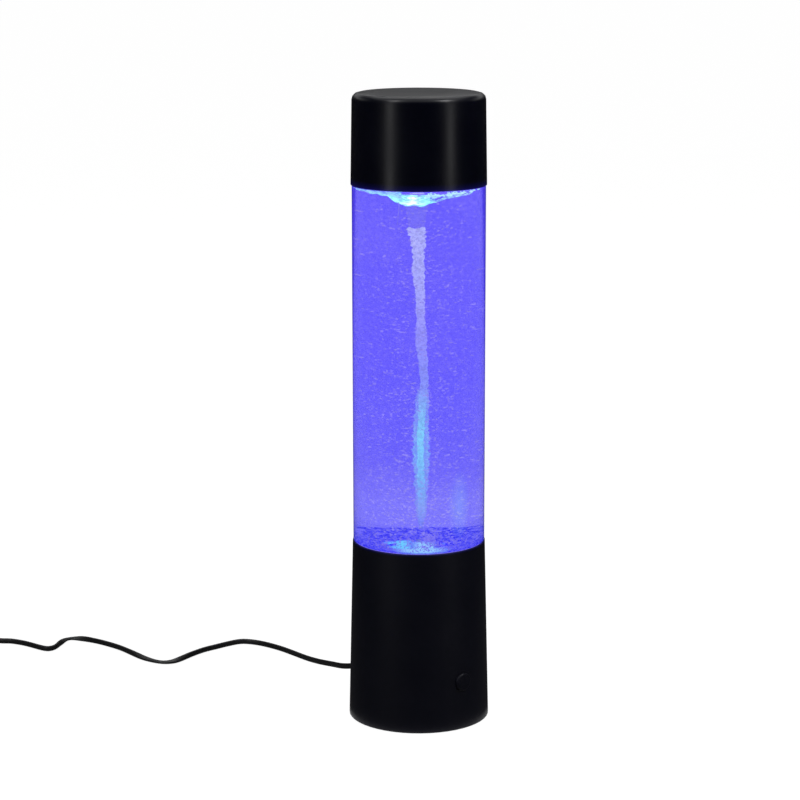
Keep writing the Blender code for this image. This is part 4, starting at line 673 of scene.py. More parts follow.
def moulded_plastic(name, dark, light, rough, grain, depth, specular=0.5):
    """Moulded plastic: a fine spark-eroded grain, with slow drifts of tone and gloss."""
    material, tree, shader = new_material(name, {"Specular IOR Level": specular})
    drift, fine = object_noise(tree, 38, 3), object_noise(tree, grain, 2)
    color = ramp(tree, drift, ((0.35, dark), (0.65, light)))
    both = calculate(tree, "MULTIPLY_ADD", fine, 0.35, drift)
    gloss = spread(tree, both, rough - 0.03, rough + 0.03, 0.4, 0.95)
    set_inputs(tree, shader, {"Base Color": color, "Roughness": gloss})
    bump(tree, shader, fine, depth)
    return material


def edge_glow(material, edge, reach, color):
    """Adds painted light: a glow that is full at an edge and gone a given reach above it."""
    tree = material.node_tree
    stops = ((0.0, BLACK), (0.6, scaled(color, 0.3)), (1.0, color))
    glow = ramp(tree, height_share(tree, edge + reach, edge), stops)
    set_inputs(tree, tree.nodes["Principled BSDF"], {"Emission Strength": 1.0, "Emission Color": glow})


def metal(name, color, rough, stretch):
    """Plated or drawn metal with fine lines along one direction."""
    material, tree, shader = new_material(name, {"Metallic": 1.0})
    lines = object_noise(tree, 420, 3, stretch)
    tone = ramp(tree, lines, ((0.3, scaled(color, 0.82)), (0.7, color)))
    set_inputs(tree, shader, {"Base Color": tone, "Roughness": spread(tree, lines, rough, rough + 0.16)})
    bump(tree, shader, lines, 0.00002)
    return material


def clear_acrylic():
    clear = {"Base Color": (0.97, 0.97, 1.0), "Transmission Weight": 1.0, "IOR": TUBE_IOR}
    material, tree, shader = new_material("clear_acrylic", clear)
    haze = spread(tree, object_noise(tree, 60, 2), 0.0, 0.03, 0.3, 0.8)
    set_inputs(tree, shader, {"Roughness": haze})
    return material


def lit_water():
    """Water lit violet-blue from below: clear, with a violet tint of painted LED light that pales near the
    floor, and a glow that pales towards the floor.
    """
    clear = {"Roughness": 0.0, "Transmission Weight": 1.0, "IOR": WATER_IOR, "Emission Strength": 1.0}
    material, tree, shader = new_material("lit_water", clear)
    low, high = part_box("water_fill")
    share = height_share(tree, low[2], high[2])
    light_tints = (
        (0.00, PALE_LIGHT_TINT),
        (0.08, (0.145, 0.130, 0.56)),
        (0.13, (0.110, 0.097, 0.51)),
        (0.18, (0.085, 0.073, 0.47)),
        (0.24, WATER_LIGHT_TINT),
    )
    stops = (
        (0.00, (0.008, 0.007, 0.20)),
        (0.070, (0.012, 0.011, 0.22)),
        (0.085, (0.034, 0.030, 0.25)),
        (0.15, (0.050, 0.043, 0.27)),
        (0.26, (0.044, 0.034, 0.30)),
        (0.36, (0.040, 0.030, 0.31)),
        (0.56, (0.039, 0.026, 0.32)),
        (0.80, (0.044, 0.030, 0.32)),
        (1.00, (0.046, 0.032, 0.32)),
    )
    wisps = object_noise(tree, 420, 2, (1.0, 1.0, 1.8))
    streaks = ramp(tree, wisps, ((0.50, WHITE), (0.68, (1.5, 1.55, 1.0))))
    patches = ramp(tree, object_noise(tree, 45, 2), ((0.40, WHITE), (0.72, (1.3, 1.35, 1.0))))
    glow = blend_color(tree, 1.0, ramp(tree, share, stops), streaks, "MULTIPLY")
    glow = blend_color(tree, 1.0, glow, patches, "MULTIPLY")
    # Painted glint: a pale cyan spot added to the water's glow
    aside, ahead, height = GLINT_PLACE
    centre = (*toward_viewer(aside, ahead), height * GLINT_FLATNESS)
    away = distance_from(tree, centre, object_place(tree, (1.0, 1.0, GLINT_FLATNESS)))
    shine = blend_color(tree, spread(tree, away, 1.0, 0.0, 0.0, GLINT_RADIUS), BLACK, GLINT_COLOR)
    glow = blend_color(tree, 1.0, glow, shine, "ADD")
    set_inputs(tree, shader, {"Base Color": ramp(tree, share, light_tints), "Emission Color": glow})
    return material


def through_water(color, tint=WATER_LIGHT_TINT):
    """The colour that shines in the water so that a given colour leaves it."""
    return tuple(value / math.sqrt(part) for value, part in zip(color, tint))


def stops_through_water(stops, tint=WATER_LIGHT_TINT):
    return [(position, through_water(color, tint)) for position, color in stops]


def glowing(name, stops, low, high, alpha=1.0, mottle=0.25, grain=500, in_water=True):
    """A lit, see-through piece whose colour changes with height, with a mottled brightness."""
    material, tree, shader = new_material(name, {**UNLIT, "Alpha": alpha})
    color = ramp(tree, height_share(tree, low, high), stops_through_water(stops) if in_water else stops)
    shade = ramp(tree, object_noise(tree, grain, 2), ((0.35, (1 - mottle,) * 3), (0.65, WHITE)))
    set_inputs(tree, shader, {"Emission Color": blend_color(tree, 1.0, color, shade, "MULTIPLY")})
    return material


def pool_share(tree, pools):
    """1 in the middle of each pool of light on the tank's floor, fading to 0 at its edge."""
    shares = []
    for aside, ahead, wide in pools:
        away = distance_from(tree, (*toward_viewer(aside, ahead), FLOOR_TOP), object_place(tree))
        shares.append(spread(tree, away, 1.0, 0.0, 0.4 * wide, wide))
    return largest(tree, shares)


def lit_floor(name):
    """What lies over the LED ring: deep blue, speckled with glitter, with pale pools of light."""
    material, tree, shader = new_material(name, {**MATT, "Base Color": (0.02, 0.02, 0.08)})
    stops = ((0.40, (0.010, 0.009, 0.62)), (0.50, (0.030, 0.029, 0.68)), (0.59, (0.130, 0.115, 0.76)))
    lit = ramp(tree, object_noise(tree, 800, 3), stops_through_water(stops, PALE_LIGHT_TINT))
    for pools, color in ((POOLS, POOL_COLOR), (CYAN_POOLS, CYAN_COLOR)):
        lit = blend_color(tree, pool_share(tree, pools), lit, through_water(color, PALE_LIGHT_TINT))
    set_inputs(tree, shader, {"Emission Color": lit})
    return material


def led_lens():
    plain = {"Base Color": (0.55, 0.60, 1.0), "Roughness": 0.35, "Emission Strength": 2.0}
    material, tree, shader = new_material("led_lens", plain)
    glow = ramp(tree, object_noise(tree, 300, 1), ((0.3, (0.25, 0.35, 1.0)), (0.7, (0.45, 0.6, 1.0))))
    set_inputs(tree, shader, {"Emission Color": glow})
    return material


def circuit_board(name, color):
    return moulded_plastic(name, scaled(color, 0.85), color, 0.38, 260, 0.00001)


def soft_rubber(name, color):
    return moulded_plastic(name, scaled(color, 0.8), color, 0.78, 700, 0.00003, 0.3)


MATERIALS = {
    "cap": moulded_plastic(
        "cap_plastic", (0.0002, 0.0004, 0.0038), (0.0006, 0.0008, 0.0046), 0.31, 1500, 0.000005, 0.25
    ),
    "base": moulded_plastic(
        "base_plastic", (0.0002, 0.0004, 0.0052), (0.0007, 0.0009, 0.0060), 0.48, 1200, 0.000008, 0.25
    ),
    "dark": moulded_plastic("cover_plastic", (0.01, 0.01, 0.011), (0.014, 0.014, 0.015), 0.6, 900, 0.00002),
    "white": moulded_plastic("white_plastic", (0.70, 0.71, 0.73), (0.78, 0.79, 0.81), 0.38, 900, 0.00001),
    "silicone": soft_rubber("grey_silicone", (0.62, 0.63, 0.66)),
    "rubber": soft_rubber("foot_rubber", (0.020, 0.020, 0.020)),
    "tie": soft_rubber("tie_rubber", (0.016, 0.016, 0.017)),
    "steel": metal("plated_steel", (0.60, 0.61, 0.63), 0.22, (1, 1, 14)),
    "nickel": metal("bright_nickel", (0.72, 0.72, 0.74), 0.12, (3, 3, 3)),
    "pcb_white": circuit_board("pcb_white", (0.80, 0.81, 0.79)),
    "pcb_green": circuit_board("pcb_green", (0.015, 0.14, 0.05)),
    "acrylic": clear_acrylic(),
    "water": lit_water(),
    "cord": moulded_plastic("cord_sheath", (0.006, 0.006, 0.007), (0.010, 0.010, 0.011), 0.42, 900, 0.00003),
}


# The CAD nodes that each finish goes on; a name stands for numbered nodes too
FINISHES = {
    "dark": ("bottom_cover", "magnet_carrier", "control_chip", "power_switch"),
    "white": ("tank_lid", "motor_socket", "led_socket", "switch_plunger", "plug_tongue"),
    "silicone": ("fill_plug", "floor_seal", "lid_seal"),
    "rubber": ("foot",),
    "tie": ("coil_tie",),
    "steel": (
        "motor_can",
        "motor_shaft",
        "motor_bracket",
        "impeller_pin",
        "plug_shell",
        "cover_screw",
        "seat_screw",
        "bracket_screw",
        "motor_screw",
    ),
    "nickel": ("impeller_magnet", "drive_magnet"),
    "pcb_white": ("led_board",),
    "pcb_green": ("control_board",),
    "cord": ("strain_relief", "plug_body", "motor_lead", "led_lead", "power_lead"),
    "base": ("power_button",),
}


def dress(material, *names):
    """Gives CAD nodes a finish, numbered ones too."""
    for name, node in frame["nodes"].items():
        if name.rstrip("_0123456789") in names:
            for slot in node.material_slots:
                slot.material = material


def dress_nodes():
    edge_glow(MATERIALS["cap"], CAP_EDGE, *CAP_GLOW)
    edge_glow(MATERIALS["base"], BASE_RIM, *BASE_GLOW)
    turned_copy("top_cap", "cap_shell", MATERIALS["cap"])
    turned_copy("base_housing", "base_shell", MATERIALS["base"])
    for finish, names in FINISHES.items():
        dress(MATERIALS[finish], *names)
    dress(lit_floor("impeller_light"), "impeller")
    dress(lit_floor("lit_floor"), "tank_floor")
    dress(led_lens(), "led")


# Camera, lights, floor and world
def around_lamp(azimuth, distance, height):
    """A place round the lamp: azimuth in degrees to the right of the camera's own side."""
    turn = CAMERA_AZIMUTH + math.radians(azimuth)
    return Vector((distance * math.sin(turn), -distance * math.cos(turn), height))


def add_camera():
    data = bpy.data.cameras.new("camera")
    data.sensor_width = SENSOR
    data.lens = FOCAL_PIXELS / PHOTO_SIDE * SENSOR
    data.shift_x = 0.5 - AXIS_PIXEL_X / PHOTO_SIDE
    data.clip_end = 50
    camera = link_object("camera", data)
    camera.location = around_lamp(0, CAMERA_DISTANCE, CAMERA_HEIGHT)
    camera.rotation_euler = (math.pi / 2 - CAMERA_PITCH, 0, CAMERA_AZIMUTH)
    bpy.context.scene.camera = camera


def add_softbox(name, azimuth, distance, height, faced_height, width, length, radiance):
    """A rectangular area light of a given brightness, facing a height on the lamp's axis."""
    data = bpy.data.lights.new(name, "AREA")
    data.shape = "RECTANGLE"
    data.size = width
    data.size_y = length
    data.energy = radiance * math.pi * width * length
    light = link_object(name, data)
    light.location = around_lamp(azimuth, distance, height)
    way = Vector((0, 0, faced_height)) - light.location
    light.rotation_euler = way.to_track_quat("-Z", "Y").to_euler()
    light.visible_transmission = False
    return light


def add_lights():
    """Two tall softboxes in front, a small one over each, and a wide one over the back."""
    front = [add_softbox(*row) for row in FRONT_SOFTBOXES]
    add_softbox(*TOP_SOFTBOX)
    return front


def keep_off(lights, pieces):
    """The lights leave out these clear pieces, which would mirror them as hard streaks."""
    for light in lights:
        left_out = bpy.data.collections.new(f"{light.name}_leaves_out")
        for piece in pieces:
            left_out.objects.link(piece)
        light.light_linking.receiver_collection = left_out
        for entry in left_out.collection_objects:
            entry.light_linking.link_state = "EXCLUDE"


def seen_share(tree):
    """1 for the rays that meet the white backdrop: looked at, mirrored or seen through glass."""
    path = tree.nodes.new("ShaderNodeLightPath")
    return largest(tree, [path.outputs[name] for name in SEEN_RAYS])


def add_world():
    """A white backdrop where it is seen, and elsewhere a soft even light."""
    world = bpy.data.worlds.new("studio")
    bpy.context.scene.world = world
    world.use_nodes = True
    tree = world.node_tree
    strength = spread(tree, seen_share(tree), ROOM_LIGHT, 1.0)
    set_inputs(tree, tree.nodes["Background"], {"Color": WHITE, "Strength": strength})


def add_floor():
    """A white sweep that keeps a faint shadow of the lamp."""
    material, tree, shader = new_material("floor_paper", MATT)
    paper = ramp(tree, object_noise(tree, 30, 3), ((0.3, (0.80,) * 3), (0.7, (0.83,) * 3)))
    seen = seen_share(tree)
    color = blend_color(tree, seen, paper, FLOOR_SEEN_COLOR)
    glow = blend_color(tree, seen, BLACK, FLOOR_GLOW)
    set_inputs(tree, shader, {"Base Color": color, "Emission Color": glow})
    shape = bmesh.new()
    bmesh.ops.create_circle(shape, cap_ends=True, segments=FLOOR_STEPS, radius=FLOOR_RADIUS)
    floor = add_mesh_object("studio_floor", shape, material, smooth=False)
    floor.location = (0, 0, FLOOR_Z)


def add_flags():
    """Dark cloth on the table and round it, met only by mirrored rays: it keeps the lamp's gloss dark."""
    material, tree, shader = new_material("flag_cloth", {**MATT, "Roughness": 1.0})
    cloth = ramp(tree, object_noise(tree, 300, 2), ((0.3, (0.02,) * 3), (0.7, (0.04,) * 3)))
    # Painted glow near the lamp, seen only in the base's mirrored edges
    near = spread(tree, distance_from(tree, (0, 0, 0), object_place(tree)), 1.0, 0.0, *TABLE_GLOW_REACH)
    glow = blend_color(tree, near, BLACK, (TABLE_GLOW,) * 3)
    set_inputs(tree, shader, {"Base Color": cloth, "Emission Color": glow})
    shape = bmesh.new()
    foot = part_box("base_housing")[1][0] + FLAG_PAST_BASE
    rings = [level_ring(shape, foot, FLAG_LOW_Z, FLAG_STEPS)]
    rings += [level_ring(shape, FLAG_RADIUS, height, FLAG_STEPS) for height in (FLAG_LOW_Z, *FLAG_HEIGHTS)]
    back = toward_viewer(0, -1).to_3d()
    for row, (first, second) in enumerate(zip(rings, rings[1:])):
        for j in range(FLAG_STEPS):
            behind = first[j].co.normalized().dot(back) > FLAG_GAP_SHARE
            if row != FLAG_GAP_ROW or not behind:
                k = (j + 1) % FLAG_STEPS
                shape.faces.new((first[j], first[k], second[k], second[j]))
    flags = add_mesh_object("black_flags", shape, material, smooth=False)
    flags.visible_camera = flags.visible_diffuse = flags.visible_transmission = flags.visible_shadow = False


# Cord
def coil_place(angle):
    """A point of the coil after a turn of angle: in along the lower layer, then out along the upper."""
    from_reverse = angle - math.pi * COIL_TURNS
    rounded = math.sqrt(from_reverse**2 + COIL_REVERSE_ROUNDING**2)
    radius = COIL_MIDDLE_RADIUS - COIL_PITCH * COIL_TURNS / 4 + COIL_PITCH * rounded / math.tau
    climb = min(max(from_reverse / math.pi + 0.5, 0), 1)
    height = COIL_LOW_Z + COIL_PITCH * smooth_step(climb)
    turn = COIL_START_ANGLE + angle
    x, y = COIL_CENTRE
    return Vector((x + radius * math.cos(turn), y + radius * math.sin(turn), height))


def cord_path():
    """Places along the whole cord, each with how far the flat cord lies over."""
    total = math.tau * COIL_TURNS
    start, end = coil_place(0), coil_place(total)
    level = Vector((1, 1, 0))
    start_way = ((coil_place(COIL_SMALL_TURN) - start) * level).normalized()
    end_way = ((end - coil_place(total - COIL_SMALL_TURN)) * level).normalized()
    mouth = start - start_way * CORD_WIDTH
    approach = [(*(mouth - start_way * CORD_WIDTH * 3), COIL_LEAN), (*mouth, COIL_LEAN)]
    exit_place = (0.0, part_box("strain_relief")[1][1] + SEAT_GAP, CORD_EXIT_Z, 0.0)
    path = spline_through([exit_place, *CORD_ROUTE, *approach], CORD_STEP)
    count = round(COIL_TURNS * COIL_POINTS)
    path += [Vector((*coil_place(total * i / count), COIL_LEAN)) for i in range(count + 1)]
    for i in range(1, COIL_TAIL_POINTS + 1):
        share = i / COIL_TAIL_POINTS
        fall = max(share - COIL_TAIL_LEVEL_SHARE, 0) / (1 - COIL_TAIL_LEVEL_SHARE)
        drop = (PLUG_AXIS_Z - COIL_LOW_Z - COIL_PITCH) * smooth_step(fall)
        place = end + end_way * COIL_TAIL * share + Vector((0, 0, drop))
        path.append(Vector((*place, COIL_LEAN + (1 - COIL_LEAN) * fall)))
    path.append(path[-1] + Vector((*(end_way * CORD_WIDTH), 0)))
    return path


def twin_section():
    """The outline of two round cores side by side, as (along the width, across it)."""
    core = CORD_WIDTH / 4
    points = []
    for side, turned in ((1, 0), (-1, math.pi)):
        for i in range(TWIN_SIDES):
            angle = TWIN_ARC * (2 * i / (TWIN_SIDES - 1) - 1) + turned
            points.append((side * core + core * math.cos(angle), core * math.sin(angle)))
    return points


def add_cord():
    path = cord_path()
    section = twin_section()
    shape = bmesh.new()
    rings = []
    for i, point in enumerate(path):
        before, after = path[max(i - 1, 0)], path[min(i + 1, len(path) - 1)]
        along = (after.to_3d() - before.to_3d()).normalized()
        up = (Vector((0, 0, 1)) - along * along.z).normalized()
        aside = along.cross(up)
        lean = math.pi / 2 * point[3]
        wide = up * math.cos(lean) + aside * math.sin(lean)
        thin = along.cross(wide)
        rings.append([shape.verts.new(point.to_3d() + wide * a + thin * b) for a, b in section])
    skin(shape, rings)
    cord = add_solid("power_cord", shape, MATERIALS["cord"])
    cord.data.set_sharp_from_angle(angle=CORD_SHARP_FROM)
    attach(cord, "lamp")
    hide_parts("cord", "cord_coil")


# Tank, water and vortex
def in_lamp(obj):
    """Says that a piece rides with the lamp."""
    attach(obj, "lamp")
    return obj


def add_tank_glass():
    """The clear tube again, with enough sides for clean refraction."""
    low, high = (corner[2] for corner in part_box("tank_tube"))
    shoulder_low, shoulder_high = BASE_RIM + SEAT_GAP, CAP_EDGE - SEAT_GAP
    edge = [(TUBE_RADIUS - TUBE_EDGE * inwards, TUBE_EDGE * along) for inwards, along in TUBE_EDGE_SHARES]
    outline = [
        (BORE_RADIUS, high),
        (NECK_RADIUS, high),
        (NECK_RADIUS, shoulder_high),
        *((radius, shoulder_high - along) for radius, along in edge),
        *((radius, shoulder_low + along) for radius, along in reversed(edge)),
        (NECK_RADIUS, shoulder_low),
        (NECK_RADIUS, low),
        (BORE_RADIUS, low),
    ]
    glass = in_lamp(lathe("tank_glass", outline, MATERIALS["acrylic"]))
    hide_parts("tank_tube")
    return glass


def add_tube_light():
    """The thin violet line of light that the tube's lower shoulder catches above the base's rim."""
    shoulder, edge = BASE_RIM + SEAT_GAP, TUBE_RADIUS - TUBE_EDGE
    high, low = (shoulder - depth for depth in SHOULDER_LINE)
    stops = ((0.0, (0.20, 0.17, 0.95)), (1.0, (0.26, 0.22, 1.0)))
    light = glowing("shoulder_light", stops, low, shoulder, mottle=0.2, in_water=False)
    outline = [(NECK_RADIUS, high), (edge, high), (edge, low), (NECK_RADIUS, low)]
    in_lamp(lathe("tube_edge_light", outline, light))


def surface_at(reach):
    """The height of the stirred surface at a distance from the axis."""
    climb = max(0, (reach - CLIMB_START) / CLIMB_WIDTH)
    dip = DISH_DEPTH / (1 + (reach / DISH_CORE) ** 2) - DISH_RISE - CLIMB_RISE * climb**2
    return STILL_LEVEL - dip


def add_water():
    """The water, down into the impeller's well, with the dish that the vortex draws in its surface."""
    floor = FLOOR_TOP - FLOOR_CONTACT
    impeller_low, impeller_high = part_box("impeller")
    well = impeller_high[0] + WELL_PAST_IMPELLER
    well_floor = impeller_low[2] - WELL_BELOW_IMPELLER
    reaches = [WATER_RADIUS * i / DISH_STEPS for i in range(DISH_STEPS + 1)]
    outline = [(reach, surface_at(reach)) for reach in reaches]
    outline += [(WATER_RADIUS, floor), (well, floor), (well, well_floor), (0, well_floor)]
    water = in_lamp(lathe("tank_water", outline, MATERIALS["water"]))
    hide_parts("water_fill")
    return water


def in_metres(rows):
    return [[value * MILLIMETRE for value in row] for row in rows]


def row_at(rows, height):
    """The sway and the radius of the vortex at a height."""
    for (low, *first), (high, *second) in zip(rows, rows[1:]):
        if height <= high:
            share = smooth_step((height - low) / (high - low))
            return [a + (b - a) * share for a, b in zip(first, second)]
    return rows[-1][1:]


def add_column(name, material, rows, bristle, notch):
    """A ragged column of fine bubbles, from its foot up to its notched top."""
    shape = bmesh.new()
    low, high = rows[0][0], rows[-1][0]
    count = round((high - low) / COLUMN_STEP)
    rings = []
    swell = 1
    for i in range(count + 1):
        height = low + (high - low) * i / count
        sway, radius = row_at(rows, height)
        swell += COLUMN_SETTLE * (1 - swell) + jitter(COLUMN_UNEVEN)
        middle = toward_viewer(sway + jitter(COLUMN_SHAKE), 0)
        ring = []
        for angle in turns(COLUMN_SIDES):
            reach = radius * (swell + jitter(bristle))
            lift = jitter(COLUMN_STEP)
            if i == count:
                lift += notch * math.cos(COLUMN_NOTCHES * angle)
            place = middle + Vector((reach * math.cos(angle), reach * math.sin(angle)))
            ring.append(shape.verts.new((*place, height + lift)))
        rings.append(ring)
    skin(shape, rings)
    in_lamp(add_solid(name, shape, material))


def add_vortex():
    core_stops = (
        (0.00, (0.10, 0.11, 0.74)),
        (0.08, (0.16, 0.29, 0.78)),
        (0.14, (0.14, 0.42, 0.80)),
        (0.22, (0.15, 0.59, 0.80)),
        (0.32, (0.17, 0.72, 0.80)),
        (0.40, (0.19, 0.54, 0.78)),
        (0.47, (0.21, 0.29, 0.77)),
        (0.65, (0.26, 0.27, 0.78)),
        (0.80, (0.38, 0.41, 0.78)),
        (1.00, (0.42, 0.46, 0.78)),
    )
    rows, haze_rows = in_metres(COLUMN_ROWS), in_metres(HAZE_ROWS)
    low, high = rows[0][0], rows[-1][0]
    core = glowing("column_light", core_stops, low, high, alpha=0.94, mottle=0.35, grain=700)
    add_column("vortex_column", core, rows, COLUMN_BRISTLE, COLUMN_NOTCH)
    # A fainter glowing shell round the lower column: a painted glow that softens its edges
    haze_stops = ((0.00, (0.14, 0.22, 0.70)), (0.50, (0.20, 0.58, 0.76)), (1.00, (0.24, 0.36, 0.70)))
    haze = glowing("column_haze", haze_stops, haze_rows[0][0], haze_rows[-1][0], alpha=0.28)
    add_column("vortex_haze", haze, haze_rows, HAZE_BRISTLE, 0.0)
    add_funnel(*rows[-1])
    add_trail()
    add_foam()


def add_funnel(top, sway, radius):
    """The clear funnel between the dish and the column: only a faint film, whose glow paints the funnel's
    faint highlights.
    """
    stops = ((0.0, (0.22, 0.22, 0.55)), (1.0, (0.18, 0.22, 0.55)))
    film = glowing("funnel_film", stops, top, STILL_LEVEL, alpha=0.08)
    mouth = surface_at(0) - FUNNEL_FILM
    waist = 0.5 * (mouth + top)
    foot = top + FUNNEL_FOOT_LIFT
    outer, inner = FUNNEL_FOOT_SHARES
    outline = [
        (FUNNEL_MOUTH_RADIUS, mouth),
        (FUNNEL_WAIST_RADIUS, waist),
        (radius * outer, foot),
        (radius * inner, foot),
        (FUNNEL_WAIST_RADIUS - FUNNEL_FILM, waist),
        (FUNNEL_MOUTH_RADIUS - FUNNEL_FILM, mouth),
    ]
    funnel = in_lamp(lathe("vortex_funnel", outline, film, FUNNEL_STEPS))
    funnel.location = (*toward_viewer(sway, 0), 0)


def add_trail():
    """A fine thread of bubbles that the edge of the vortex draws down."""
    top = surface_at(THREAD_REACH)
    stops = ((0.0, (0.14, 0.13, 0.55)), (1.0, (0.22, 0.22, 0.60)))
    light = glowing("trail_light", stops, top - THREAD_FADE, top, alpha=0.8)
    shape = bmesh.new()
    rings = []
    aside, ahead = THREAD_PLACE
    for i in range(THREAD_STEPS + 1):
        share = i / THREAD_STEPS
        middle = toward_viewer(aside + THREAD_SWAY * math.sin(THREAD_BEND * share), ahead)
        radius = THREAD_RADIUS * (1 - THREAD_TAPER * share) * random.uniform(*THREAD_UNEVEN)
        rings.append(level_ring(shape, radius, top - THREAD_LENGTH * share, THREAD_SIDES, middle))
    skin(shape, rings)
    in_lamp(add_solid("bubble_thread", shape, light))


def foam_light():
    """Brightest at a spot in the froth and fading along the surface towards the wall."""
    material, tree, shader = new_material("foam_light", {**UNLIT, "Alpha": 0.95})
    spot = (*toward_viewer(*FOAM_SPOT), STILL_LEVEL - FOAM_SPOT_DEPTH)
    away = distance_from(tree, spot, object_place(tree))
    ragged = calculate(tree, "MULTIPLY_ADD", object_noise(tree, 330, 3), FOAM_RAGGED, away)
    stops = (
        (0.00, (1.25, 1.45, 1.00)),
        (0.12, (0.80, 1.25, 0.95)),
        (0.22, (0.30, 0.92, 0.90)),
        (0.40, (0.30, 0.92, 0.86)),
        (0.60, (0.28, 0.66, 0.78)),
        (1.00, (0.15, 0.28, 0.60)),
    )
    far = ramp(tree, spread(tree, ragged, 0.0, 1.0, *FOAM_SPOT_REACH), stops_through_water(stops))
    streaks = object_noise(tree, 380, 3, (1.0, 1.0, 2.5))
    shade = ramp(tree, streaks, ((0.42, (0.56, 0.64, 0.88)), (0.56, (1.3, 1.3, 1.1))))
    set_inputs(tree, shader, {"Emission Color": blend_color(tree, 1.0, far, shade, "MULTIPLY")})
    return material


def ripple(waves, aside, ahead):
    """The sum of one wave sideways and one ahead."""
    return sum(size * math.sin(pace * way + shift) for way, (size, pace, shift) in zip((aside, ahead), waves))


def foam_covers(aside, ahead):
    """Whether the froth covers a place on the dish."""
    if ahead < FOAM_BACK:
        return False
    ragged = ripple(FOAM_EDGE_WAVES, aside, ahead)
    if aside > FOAM_LEFT:
        return aside < FOAM_RIGHT + ragged and math.hypot(aside, ahead) < FOAM_RIGHT_REACH + ragged
    return True


def add_foam():
    """The froth under the dish: a bright patch near the middle and a band that thins out to the wall."""
    shape = bmesh.new()
    grid = {}
    for i in range(FOAM_ROUNDS + 1):
        reach = FOAM_REACH * (FOAM_HOLE_SHARE + (1 - FOAM_HOLE_SHARE) * i / FOAM_ROUNDS)
        for j, turn in enumerate(turns(FOAM_SPOKES)):
            aside, ahead = reach * math.sin(turn), reach * math.cos(turn)
            if not foam_covers(aside, ahead):
                continue
            lumps = ripple(FOAM_LUMP_WAVES, aside, ahead)
            swell = FOAM_SWELL * max(0, 1 - reach / FOAM_SWELL_REACH)
            if ahead > 0:
                swell += FOAM_SAG * math.exp(-(((aside - FOAM_SAG_ASIDE) / FOAM_SAG_WIDTH) ** 2))
            height = surface_at(reach) - FOAM_DROP - swell - max(lumps, 0)
            grid[i, j] = shape.verts.new((*toward_viewer(aside, ahead), height))
    for i, j in grid:
        k = (j + 1) % FOAM_SPOKES
        corners = [grid.get(key) for key in ((i, j), (i + 1, j), (i + 1, k), (i, k))]
        if all(corners):
            shape.faces.new(corners)
    foam = in_lamp(add_mesh_object("vortex_foam", shape, foam_light()))
    foam.modifiers.new("film", "SOLIDIFY").thickness = FOAM_THICKNESS


def add_ring(shape, centre, normal, radius, thickness, sides, section=5, squash=1.0):
    """A thin ring in the given plane, narrower across it where it is squashed."""
    place = Matrix.Translation(centre) @ Vector(normal).to_track_quat("Z", "Y").to_matrix().to_4x4()
    rings = []
    for around in turns(sides):
        ring = []
        for across in turns(section):
            reach = radius + thickness * math.cos(across)
            x, y = reach * math.cos(around), squash * reach * math.sin(around)
            ring.append(shape.verts.new(place @ Vector((x, y, thickness * math.sin(across)))))
        rings.append(ring)
    skin(shape, rings, closed=True)


def add_surface_line():
    """The fine line where the water meets the tube, its painted highlight drawn as a glowing ring."""
    stops = ((0.0, (0.08, 0.08, 0.55)), (1.0, (0.20, 0.20, 0.62)))
    rim = surface_at(WATER_RADIUS)
    low, high = (rim + fade for fade in SURFACE_LINE_FADE)
    light = glowing("edge_light", stops, low, high, alpha=0.8)
    shape = bmesh.new()
    place = (0, 0, rim - SURFACE_LINE_DROP)
    reach = WATER_RADIUS - SURFACE_LINE_INSET
    add_ring(shape, place, (0, 0, 1), reach, SURFACE_LINE_THICKNESS, TUBE_STEPS, 6)
    in_lamp(add_solid("surface_edge_highlight", shape, light))


def add_bubbles():
    """Flat bubbles that lie under the surface on the right, seen as bright outlines: painted highlights,
    drawn as glowing rings.
    """
    stops = ((0.0, (0.35, 0.80, 0.75)), (1.0, (0.50, 0.95, 0.80)))
    light = glowing("bubble_light", stops, STILL_LEVEL - BUBBLE_FADE, STILL_LEVEL, alpha=0.9)
    shape = bmesh.new()
    for aside, ahead, size in BIG_BUBBLES:
        place = toward_viewer(aside, ahead)
        height = surface_at(math.hypot(aside, ahead)) - BUBBLE_DROP
        out = place.normalized()
        tilt = (BUBBLE_LEAN * out.x, BUBBLE_LEAN * out.y, 1)
        add_ring(shape, (*place, height), tilt, size, BUBBLE_LINE, BUBBLE_SIDES, squash=BUBBLE_SQUASH)
    for _ in range(BUBBLE_COUNT):
        size = crowded(*SMALL_BUBBLE_RADII, 2)
        turn = math.radians(random.uniform(*SMALL_BUBBLE_TURNS))
        reach = random.uniform(*SMALL_BUBBLE_REACHES)
        tilt = (jitter(BUBBLE_TILT), jitter(BUBBLE_TILT), 1)
        place = (*spoke(turn, reach), surface_at(reach) - SMALL_BUBBLE_DROP)
        add_ring(shape, place, tilt, size, SMALL_BUBBLE_LINE, SMALL_BUBBLE_SIDES)
    in_lamp(add_solid("surface_bubbles", shape, light))


def add_flake(shape, centre, along):
    """One four-cornered flake, a little twisted, pointing along a direction."""
    out = Vector((centre.x, centre.y, jitter(FLAKE_TWIST))).normalized()
    across = along.cross(out).normalized()
    length = FLAKE_LENGTH * crowded(FLAKE_LEAST_SHARE, 1, 2)
    width = length * random.uniform(*FLAKE_WIDTH_SHARES)
    lift = along.cross(across) * width / 2
    corners = [along * length, across * width + lift, -along * length, -across * width - lift]
    shape.faces.new([shape.verts.new(centre + corner) for corner in corners])


